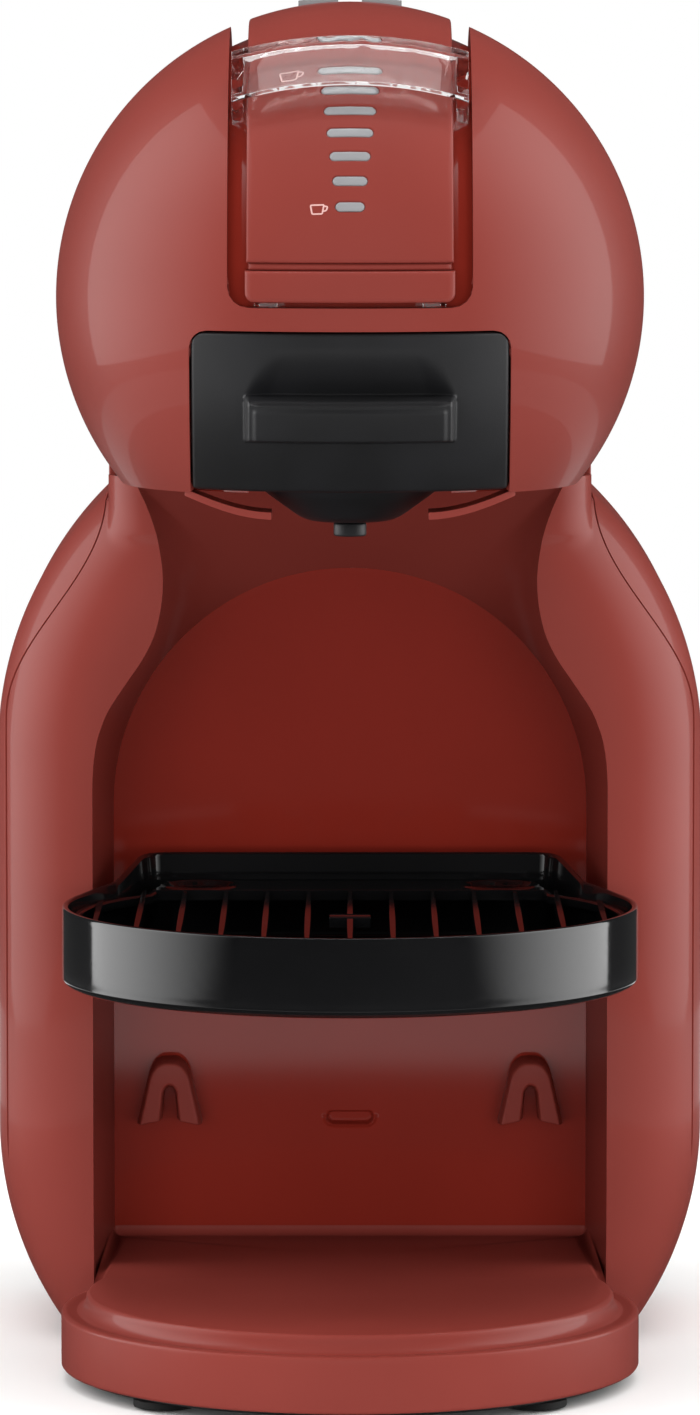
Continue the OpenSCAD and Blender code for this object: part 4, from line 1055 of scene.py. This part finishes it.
def make_tank(tank):
    """Water tank: an open clear tub whose wall runs up, over a rounded rim and down inside to the floor."""
    steps = [(0.6, tank.low_z), (0.0, tank.low_z + 1.0), (0.0, tank.top_z - 4), (0.0, tank.top_z - 0.4),
             (0.5, tank.top_z), (1.5, tank.top_z), (2.0, tank.top_z - 0.5), (2.0, tank.low_z + 3.2),
             (2.8, tank.low_z + 2.2)]
    rings = []
    for inset, z in steps:
        ring = tank_outline(inset, tank)
        rings.append(np.concatenate([ring, np.full((len(ring), 1), z)], axis=1))
    centre = np.array([0, 88.0])
    def at_centre(z):
        return np.broadcast_to(np.array([centre[0], centre[1], z]), rings[0].shape)
    rows = np.stack([at_centre(tank.low_z)] + rings + [at_centre(tank.low_z + 2.2)], axis=1)
    finish(build("water_tank_tub", [sheet(rows, wrap_u=True)]), ["water_tank"], angle=40)
    xs = np.array([20.7, 24.9])
    lugs = []
    for side in (-1, 1):
        ring = rounded_path([(64, 248), (64, 257), (70, 257), (70, 248)], 3, 6)
        lug = np.stack([np.stack([np.full(len(ring), side * x), ring[:, 0], ring[:, 1]], -1) for x in xs], 0)
        lugs += slab(lug, lug * np.array([1, 1, 0]) + np.array([0, 0, 248]))
    finish(build("tank_lugs", lugs), ["water_tank"], replaces=False, bevel=0.2)


def make_tray_shelf(tray):
    """Rear shelf of the tray: a plate with soft corners that steps up from the tray and hooks on behind."""
    parts = []
    u = np.concatenate([[-1, -0.995, -0.985], np.linspace(-0.96, 0.96, 61), [0.985, 0.995, 1]])
    v = np.concatenate([[0, 0.02, 0.06], np.linspace(0.12, 0.9, 20), [0.95, 0.98, 1]])
    uu, vv = np.meshgrid(u, v, indexing="ij")
    y = tray.shelf_front_y + (tray.shelf_back_y - tray.shelf_front_y) * vv
    x = uu * tray.shelf_half
    edge = np.minimum((1 - np.abs(uu)) * tray.shelf_half, np.minimum(vv, 1 - vv) * 12)
    crown = tray.shelf_top_z - 0.7 * (1 - np.clip(edge / 0.9, 0, 1)) ** 2 + 0.5 * np.cos(uu * math.pi) - 0.5
    parts += slab(np.stack([x, y, crown], -1), np.stack([x, y, np.full_like(x, tray.shelf_low_z)], -1))
    finish(build("drip_tray_shelf", parts), ["drip_tray"], bevel=0.3, angle=40, replaces=False)


# ---------------------------------------------------------------- settings


def size(name, value, about):
    """A length in millimetres that a user can change."""
    return FloatProperty(name=name, description=about, default=value, soft_min=0.0 if value > 0 else value * 2,
                         precision=2)


def tone(name, value, about):
    """A colour given as an sRGB hex code."""
    return StringProperty(name=name, description=about, default=value)


class MachineColours(bpy.types.PropertyGroup):
    """Colours of the machine's own finishes."""
    shell: tone("Shell", "#7F342D", "Brick red of the outside shells")
    shell_drift: tone("Shell drift", "#7A312A", "The same red where the dye runs a little darker")
    # Niche and its drift are the shell red painted darker and more saturated, as shade inside the cup space and the
    # groove
    niche: tone("Niche", "#84271D", "Red inside the cup space and the groove")
    niche_drift: tone("Niche drift", "#7E251B", "The same red where it runs a little darker")
    bars: tone("Bars", "#8A8A8C", "Grey of the light bars and keys")
    bars_drift: tone("Bars drift", "#848486", "The same grey where it runs a little darker")


class HeadSizes(bpy.types.PropertyGroup):
    """Sizes of the ball head and its control band, in millimetres."""
    radius: size("Radius", 65.0, "Radius of the ball")
    y: size("Depth of centre", -35.0, "Where the ball's centre stands from front to back")
    z: size("Height of centre", 238.0, "Height of the ball's centre")
    back_y: size("Back", -0.3, "Where the ball ends at the hood")
    floor_z: size("Floor", 197.0, "Height of the ball's flat underside")
    floor_t: size("Floor wall", 1.4, "Wall of the underside")
    groove_half: size("Groove half width", 26.3, "Half the width of the groove round the band")
    groove_r: size("Groove radius", 61.0, "Radius of the groove's floor")
    band_half: size("Band half width", 22.2, "Half the width of the control band")
    band_low_z: size("Band foot", 247.7, "Height of the band's lower edge")
    trim_low_z: size("Trim foot", 246.0, "Height of the trim line's lower edge")
    lip_low_z: size("Lip foot", 239.2, "Height of the lip's lower edge")
    window_half: size("Window half width", 34.6, "Half the width of the drawer's window")
    window_low_z: size("Window foot", 188.0, "Height of the window's lower edge, below the ball's flat underside")
    window_top_z: size("Window top", 233.0, "Height of the window's upper edge")
    bar_first: size("First bar", 19.4, "Angle of the lowest light bar in degrees above the front")
    bar_step: size("Bar step", 5.2, "Angle between light bars in degrees")
    bar_count: IntProperty(name="Bars", description="How many light bars there are", default=7, min=1, max=12)


class ShellSizes(bpy.types.PropertyGroup):
    """Sizes of the front and rear shells, in millimetres."""
    body_r: size("Body radius", 80.0, "Half the width of the body and radius of its round ends")
    low_z: size("Lower centre", 48.5, "Height of the lower round end's centre")
    high_z: size("Upper centre", 134.2, "Height of the upper round end's centre")
    front_y: size("Front", -18.0, "Depth of the wings' front")
    rear_y: size("Rear", 62.0, "Depth of the flat back")
    seam_y: size("Seam depth", -0.6, "Depth at which the front shell's edge ends")
    niche_y: size("Back wall", 25.0, "Depth of the cup space's back wall")
    front_round: size("Front rounding", 24.0, "Radius of the body's front edge")
    rear_round: size("Rear rounding", 14.0, "Radius of the body's rear edge")
    hood_half: size("Hood half width", 54.5, "Half the width of the hood and the neck")
    hood_front_y: size("Hood front", 0.0, "Depth at which the hood begins")
    head_z: size("Hood centre", 238.0, "Height of the hood's round top's centre")
    neck_round: size("Neck rounding", 12.0, "Radius of the neck's front edges")
    neck_top_z: size("Neck top", 196.8, "Height of the neck's top")
    neck_low_z: size("Neck foot", 184.0, "Height where the neck runs into the wings")
    neck_back_y: size("Neck back", -1.6, "Depth of the neck's top edge in the middle")
    niche_half: size("Niche half width", 54.4, "Half the width of the cup space at its back")
    arch_z: size("Arch centre", 119.0, "Height of the centre of the back wall's arch")
    floor_z: size("Shell foot", 3.2, "Height of the rear shell's lower edge")
    cut_z: size("Face foot", 4.0, "Height where the front shell goes behind the base")


class DrawerSizes(bpy.types.PropertyGroup):
    """Sizes of the pod drawer's face and bowl, in millimetres."""
    half: size("Half width", 34.2, "Half the width of the drawer's face")
    low_z: size("Foot", 197.8, "Height of the face's lower edge")
    top_z: size("Top", 232.6, "Height of the face's upper edge")
    corner: size("Corner", 3.5, "Radius of the face's corners")
    low_corner: size("Lower corner", 1.2, "Radius of the face's lower corners")
    grip_half: size("Grip half width", 22.5, "Half the width of the grip bar")
    grip_low_z: size("Grip foot", 209.0, "Height of the grip bar's lower edge")
    grip_h: size("Grip height", 10.0, "Height of the grip bar")
    grip_reach: size("Grip reach", 8.8, "How far the grip bar stands out")
    hollow_h: size("Hollow height", 12.0, "How far the finger hollow reaches above the grip bar")
    hollow_depth: size("Hollow depth", 3.0, "Depth of the finger hollow")
    pod_y: size("Pod axis", -60.0, "Depth of the pod's axis")


class BaseSizes(bpy.types.PropertyGroup):
    """Sizes of the base, in millimetres."""
    radius: size("Disc radius", 63.9, "Radius of the base disc")
    y: size("Disc centre", -53.5, "Depth of the disc's centre")
    low_z: size("Foot", 2.5, "Height of the disc's lower edge")
    disc_top: size("Ledge", 15.0, "Height of the disc's ledge")
    deck_z: size("Deck", 18.8, "Height of the deck")
    deck_half: size("Deck half width", 58.1, "Half the width of the deck's rear part")
    deck_taper: size("Deck taper", 0.06, "How much the deck narrows towards the back wall, as a share of its width")
    side_fillet: size("Side fillet", 6.4, "How far the deck's side fillet reaches in from the wall")
    side_climb: size("Side climb", 18.0, "How high the deck's side fillet climbs the wall")
    back_fillet: size("Back fillet", 2.2, "Radius of the fillet along the back wall")
    deck_back_y: size("Deck back", 24.6, "Depth of the deck's rear edge")


class TraySizes(bpy.types.PropertyGroup):
    """Sizes of the drip tray and its grid, in millimetres."""
    radius: size("Radius", 63.5, "Radius of the tray")
    y: size("Centre", -53.5, "Depth of the tray's centre")
    low_z: size("Foot", 87.5, "Height of the tray's underside")
    taper: size("Taper", 0.1, "How much the tray draws in towards its back, as a share of its width")
    corner: size("Rear corner", 9.0, "Radius of the tray's rear corners")
    tongue_half: size("Tongue half width", 53.6, "Half the width of the tray's rear part")
    back_y: size("Back", 13.9, "Depth of the tray's rear wall")
    back_rise: size("Rear rise", 4.2, "How much higher the rim is at the back")
    shelf_front_y: size("Shelf front", 12.6, "Depth of the rear shelf's front")
    shelf_back_y: size("Shelf back", 24.4, "Depth of the rear shelf's back")
    shelf_low_z: size("Shelf foot", 102.4, "Height of the rear shelf's underside")
    shelf_top_z: size("Shelf top", 107.6, "Height of the rear shelf's top")
    shelf_half: size("Shelf half width", 44.0, "Half the width of the rear shelf")
    grid_z: size("Grid", 100.5, "Height of the grid's underside")
    bar_pitch: size("Bar pitch", 9.3, "Distance between grid bars")
    bars: IntProperty(name="Bars", description="How many bars the grid has", default=13, min=3, max=25)


class TankSizes(bpy.types.PropertyGroup):
    """Sizes of the water tank, in millimetres."""
    half: size("Half width", 55.0, "Half the width of the tank")
    front_y: size("Front", 64.0, "Depth of the tank's flat front")
    back_y: size("Back", 117.4, "Depth of the round back")
    round: size("Back radius", 60.0, "Radius of the round back")
    low_z: size("Foot", 20.3, "Height of the tank's underside")
    top_z: size("Rim", 250.0, "Height of the tank's rim")


class LightSizes(bpy.types.PropertyGroup):
    """Brightness of the studio."""
    card_glow: FloatProperty(name="Side cards", description="Brightness of the side cards", default=3.3)
    card_front_m: FloatProperty(name="Card front", description="Depth of the cards' front edge in metres",
                                default=-1.1)
    card_rear_m: FloatProperty(name="Card rear", description="Depth of the cards' rear edge in metres", default=0.58)
    mirror_from_m: FloatProperty(name="Gloss ring inside", description="Where the floor begins to show in gloss",
                                 default=0.40)
    card_top_m: FloatProperty(name="Card top", description="Height of the cards' upper edge in metres", default=1.5)
    near_floor_m: FloatProperty(name="Gloss ring outside", description="Where the floor ends to show in gloss",
                                default=0.62)
    low_power: FloatProperty(name="Low light", description="Power of the low front fill in watts", default=7.5)
    strip_power: FloatProperty(name="Ridge strip", description="Power of the thin strip above, in watts", default=3.5)
    top_power: FloatProperty(name="Top light", description="Power of the light above in watts", default=9.0)
    front_power: FloatProperty(name="Front light", description="Power of the front fill in watts", default=14.0)
    fill: FloatProperty(name="Room light", description="Soft light that the room throws on the machine", default=0.55)
    mirrored: FloatProperty(name="Room mirrored", description="How bright the room shows in gloss", default=0.05)


# --------------------------------------------------------------- operators


class BuildStep(bpy.types.Operator):
    """One step of building the machine."""
    bl_idname = "machine.step"
    bl_label = "Build step"
    bl_options = {"REGISTER", "UNDO"}

    def execute(self, context):
        self.make(context.scene)
        return {"FINISHED"}

    def make(self, scene):
        """Overridden by each step."""


class MACHINE_OT_finishes(BuildStep):
    """Makes every finish and lays it on the CAD nodes that stay in view"""
    bl_idname = "machine.finishes"
    bl_label = "Finishes"

    def make(self, scene):
        FINISH.update(make_materials())
        for node, obj in frame["nodes"].items():
            obj.data.materials.clear()
            obj.data.materials.append(FINISH[SLOT_OF[node]])


class MACHINE_OT_stage(BuildStep):
    """Sets the pale floor, the soft lights and the camera"""
    bl_idname = "machine.stage"
    bl_label = "Stage"

    def make(self, scene):
        make_stage(scene, scene.machine_lights)


class MACHINE_OT_head(BuildStep):
    """Builds the ball head, its control band, bars, keys and clips"""
    bl_idname = "machine.head"
    bl_label = "Ball head"

    def make(self, scene):
        head = scene.machine_head
        make_head(head)
        make_band(head)
        make_bars(head)
        make_icons(head)
        make_trim_and_lip(head)
        refined("hot_key", "hot_key_cap", 0.35, finish_name="grey_plastic")
        refined("cold_key", "cold_key_cap", 0.35, finish_name="grey_plastic")
        refined("selector_wheel", "selector_wheel_ribbed", 0.2)
        refined("lip_clips", "lip_clip_pads", 0.15)


class MACHINE_OT_handle(BuildStep):
    """Builds the clear locking handle and its steel axle"""
    bl_idname = "machine.handle"
    bl_label = "Locking handle"

    def make(self, scene):
        refined("locking_handle", "locking_handle_clear", 0.6, segments=3)
        refined("handle_axle", "handle_axle_turned", 0.2)


class MACHINE_OT_shells(BuildStep):
    """Builds the front and rear shells, the back wall and the hooks"""
    bl_idname = "machine.shells"
    bl_label = "Shells"

    def make(self, scene):
        shell = scene.machine_shell
        make_front_shell(shell)
        make_rear_shell(shell)
        make_hooks()


class MACHINE_OT_drawer(BuildStep):
    """Builds the pod drawer's face, the bowl and the outlet"""
    bl_idname = "machine.drawer"
    bl_label = "Pod drawer"

    def make(self, scene):
        make_drawer(scene.machine_drawer, scene.machine_head)
        make_bowl(scene.machine_drawer)
        refined("pod_drawer", "pod_drawer_slab", 0.3)


class MACHINE_OT_base(BuildStep):
    """Builds the base disc, the deck and the feet"""
    bl_idname = "machine.base"
    bl_label = "Base"

    def make(self, scene):
        make_base(scene.machine_base)
        refined("feet", "rubber_feet", 0.4)
        refined("base_plate", "base_plate_moulded", 0.3)


class MACHINE_OT_tray(BuildStep):
    """Builds the drip tray, its rear shelf and its grid"""
    bl_idname = "machine.tray"
    bl_label = "Drip tray"

    def make(self, scene):
        make_tray(scene.machine_tray)
        make_tray_shelf(scene.machine_tray)
        make_grid(scene.machine_tray)


class MACHINE_OT_tank(BuildStep):
    """Builds the water tank, its lid, its dock and its valve"""
    bl_idname = "machine.tank"
    bl_label = "Water tank"

    def make(self, scene):
        make_tank(scene.machine_tank)
        refined("tank_lid", "tank_lid_moulded", 0.4)
        refined("lid_pin", "lid_pin_turned", 0.2)
        refined("tank_dock", "tank_dock_moulded", 0.5)
        refined("valve_poppet", "valve_poppet_moulded", 0.2)


class MACHINE_OT_rear_fittings(BuildStep):
    """Builds the button, its ring, the cord's gland and the screws of the rear shell"""
    bl_idname = "machine.rear_fittings"
    bl_label = "Rear fittings"

    def make(self, scene):
        refined("power_button", "power_button_cap", 0.5, segments=3)
        refined("power_ring", "power_button_ring", 0.25)
        refined("cord_gland", "cord_gland_moulded", 0.3)
        refined("shell_screws", "shell_screws_turned", 0.15)


# ------------------------------------------------------------------- stage


def make_side_panels(scene, lights):
    """Two upright light cards beside the machine: bright to the rear and fading to nothing at the front."""
    material = bpy.data.materials.new("graded_light_card")
    material.use_nodes = True
    tree = material.node_tree
    tree.nodes.clear()
    place = add(tree, "ShaderNodeTexCoord")
    axes = add(tree, "ShaderNodeSeparateXYZ", {}, {0: place.outputs["Object"]})
    grade = add(tree, "ShaderNodeMapRange", {"From Min": lights.card_front_m, "From Max": 0.15, "To Min": 0.0,
                                             "To Max": lights.card_glow, "interpolation_type": "SMOOTHSTEP"},
                {"Value": axes.outputs["Y"]})
    glow = add(tree, "ShaderNodeEmission", {"Color": (1, 1, 1, 1)}, {"Strength": grade.outputs["Result"]})
    add(tree, "ShaderNodeOutputMaterial", {}, {"Surface": glow.outputs[0]})
    y, z = np.meshgrid([lights.card_front_m, lights.card_rear_m], [-0.06, lights.card_top_m], indexing="ij")
    for side, name in ((-1, "left_card"), (1, "right_card")):
        card = build(name, [sheet(np.stack([np.full_like(y, side * 1.0), y, z], -1) / MM)])
        orient_towards(card, (0, 0, 200))
        scene.collection.objects.link(card)
        card.data.materials.append(material)
        card.visible_camera = False
        card.visible_transmission = False


def make_stage(scene, lights):
    """Pale floor, a room that looks white to the camera, soft panels around, and the camera."""
    # A ring of the paper in front of the machine is the only part that shows in gloss
    turn = np.linspace(0, 2 * math.pi, 97)[:-1]
    circle = np.stack([np.cos(turn), np.sin(turn)], -1)
    material, tree, shader, place = new_material("pale_paper_floor")
    varied_colour(tree, shader, place, "#F7F7F6", "#F4F4F3", 3.0)
    shader.inputs["Roughness"].default_value = 0.9
    # The paper runs out into white: its own glow takes over some 300 mm from the machine
    reach = add(tree, "ShaderNodeVectorMath", {"operation": "LENGTH"}, {0: place})
    fade = add(tree, "ShaderNodeMapRange", {"From Min": 0.16, "From Max": 0.5, "To Min": 0.0, "To Max": 1.0,
                                            "interpolation_type": "SMOOTHSTEP"}, {"Value": reach.outputs["Value"]})
    glow = add(tree, "ShaderNodeEmission", {"Color": (1, 1, 1, 1), "Strength": 1.0})
    blend = add(tree, "ShaderNodeMixShader", {},
                {0: fade.outputs["Result"], 1: shader.outputs[0], 2: glow.outputs[0]})
    outlet = next(n for n in tree.nodes if n.type == "OUTPUT_MATERIAL")
    tree.links.new(blend.outputs[0], outlet.inputs["Surface"])
    for name, radii_m, in_gloss in (("inner_floor", (0.0, 0.2, lights.mirror_from_m), False),
                                    ("near_floor", (lights.mirror_from_m, lights.near_floor_m), True),
                                    ("far_floor", (lights.near_floor_m, 2.0, 6.0), False)):
        rings = np.stack([np.concatenate([circle * r / MM, np.full((96, 1), -0.4)], 1) for r in radii_m])
        floor = build(name, [sheet(rings, wrap_v=True)])
        orient_towards(floor, (0, 0, 5000))
        scene.collection.objects.link(floor)
        floor.data.materials.append(material)
        floor.visible_glossy = in_gloss
    make_side_panels(scene, lights)
    lamps = (
        ("top_panel", (0.0, -0.35, 1.5), 1.3, 0.8, lights.top_power, False),
        ("ridge_strip", (0.0, -0.02, 1.5), 1.3, 0.08, lights.strip_power, True),
        ("front_panel", (0.0, -2.3, 0.95), 2.2, 1.3, lights.front_power, False),
        ("low_panel", (0.0, -1.5, 0.12), 1.6, 0.2, lights.low_power, False),
    )
    target = Vector((0, -0.02, 0.15))
    for name, place_m, width, height, power, mirrored in lamps:
        data = bpy.data.lights.new(name, "AREA")
        data.shape = "RECTANGLE"
        data.size, data.size_y = width, height
        data.energy = power
        light = bpy.data.objects.new(name, data)
        light.location = place_m
        light.rotation_euler = (target - Vector(place_m)).to_track_quat("-Z", "Y").to_euler()
        light.visible_glossy = mirrored
        scene.collection.objects.link(light)
    world = bpy.data.worlds.new("studio_room")
    world.use_nodes = True
    tree = world.node_tree
    tree.nodes.clear()
    path = add(tree, "ShaderNodeLightPath")
    seen = add(tree, "ShaderNodeMath", {"operation": "MAXIMUM"},
               {0: path.outputs["Is Camera Ray"], 1: path.outputs["Is Transmission Ray"]})
    fill = add(tree, "ShaderNodeBackground", {"Color": (1, 1, 1, 1), "Strength": lights.fill})
    mirrored = add(tree, "ShaderNodeBackground", {"Color": (1, 1, 1, 1), "Strength": lights.mirrored})
    white = add(tree, "ShaderNodeBackground", {"Color": (1, 1, 1, 1), "Strength": 1.0})
    room = add(tree, "ShaderNodeMixShader", {},
               {0: path.outputs["Is Glossy Ray"], 1: fill.outputs[0], 2: mirrored.outputs[0]})
    mix = add(tree, "ShaderNodeMixShader", {}, {0: seen.outputs[0], 1: room.outputs[0], 2: white.outputs[0]})
    add(tree, "ShaderNodeOutputWorld", {}, {"Surface": mix.outputs[0]})
    scene.world = world
    camera = bpy.data.objects.new("camera", bpy.data.cameras.new("camera"))
    camera.location = (0, CAMERA_Y, CAMERA_Z)
    camera.rotation_euler = (math.radians(CAMERA_TILT), 0, 0)
    camera.data.lens = LENS
    camera.data.sensor_fit = "AUTO"
    camera.data.sensor_width = SENSOR
    scene.collection.objects.link(camera)
    scene.camera = camera
    scene.view_settings.view_transform = "Standard"


# -------------------------------------------------------- panel and set-up

STEPS = (
    MACHINE_OT_finishes, MACHINE_OT_stage, MACHINE_OT_head, MACHINE_OT_handle, MACHINE_OT_shells,
    MACHINE_OT_drawer, MACHINE_OT_base, MACHINE_OT_tray, MACHINE_OT_tank, MACHINE_OT_rear_fittings,
)
GROUPS = {
    "machine_colours": MachineColours, "machine_head": HeadSizes, "machine_shell": ShellSizes,
    "machine_drawer": DrawerSizes, "machine_base": BaseSizes, "machine_tray": TraySizes,
    "machine_tank": TankSizes, "machine_lights": LightSizes,
}


class MACHINE_PT_build(bpy.types.Panel):
    """Lists the sizes, the colours and the building steps"""
    bl_idname = "MACHINE_PT_build"
    bl_label = "Coffee machine"
    bl_space_type = "VIEW_3D"
    bl_region_type = "UI"
    bl_category = "Coffee machine"

    def draw(self, context):
        for step in STEPS:
            self.layout.operator(step.bl_idname)
        for name in GROUPS:
            box = self.layout.box()
            group = getattr(context.scene, name)
            for key in group.__annotations__:
                box.prop(group, key)


def register():
    for group in GROUPS.values():
        bpy.utils.register_class(group)
    for step in STEPS:
        bpy.utils.register_class(step)
    bpy.utils.register_class(MACHINE_PT_build)
    for name, group in GROUPS.items():
        setattr(bpy.types.Scene, name, PointerProperty(type=group))


def unregister():
    for name in GROUPS:
        delattr(bpy.types.Scene, name)
    bpy.utils.unregister_class(MACHINE_PT_build)
    for step in reversed(STEPS):
        bpy.utils.unregister_class(step)
    for group in reversed(list(GROUPS.values())):
        bpy.utils.unregister_class(group)


def main():
    register()
    for step in STEPS:
        getattr(bpy.ops.machine, step.bl_idname.split(".")[1])()
    bpy.context.view_layer.update()


if __name__ == "__main__":
    main()
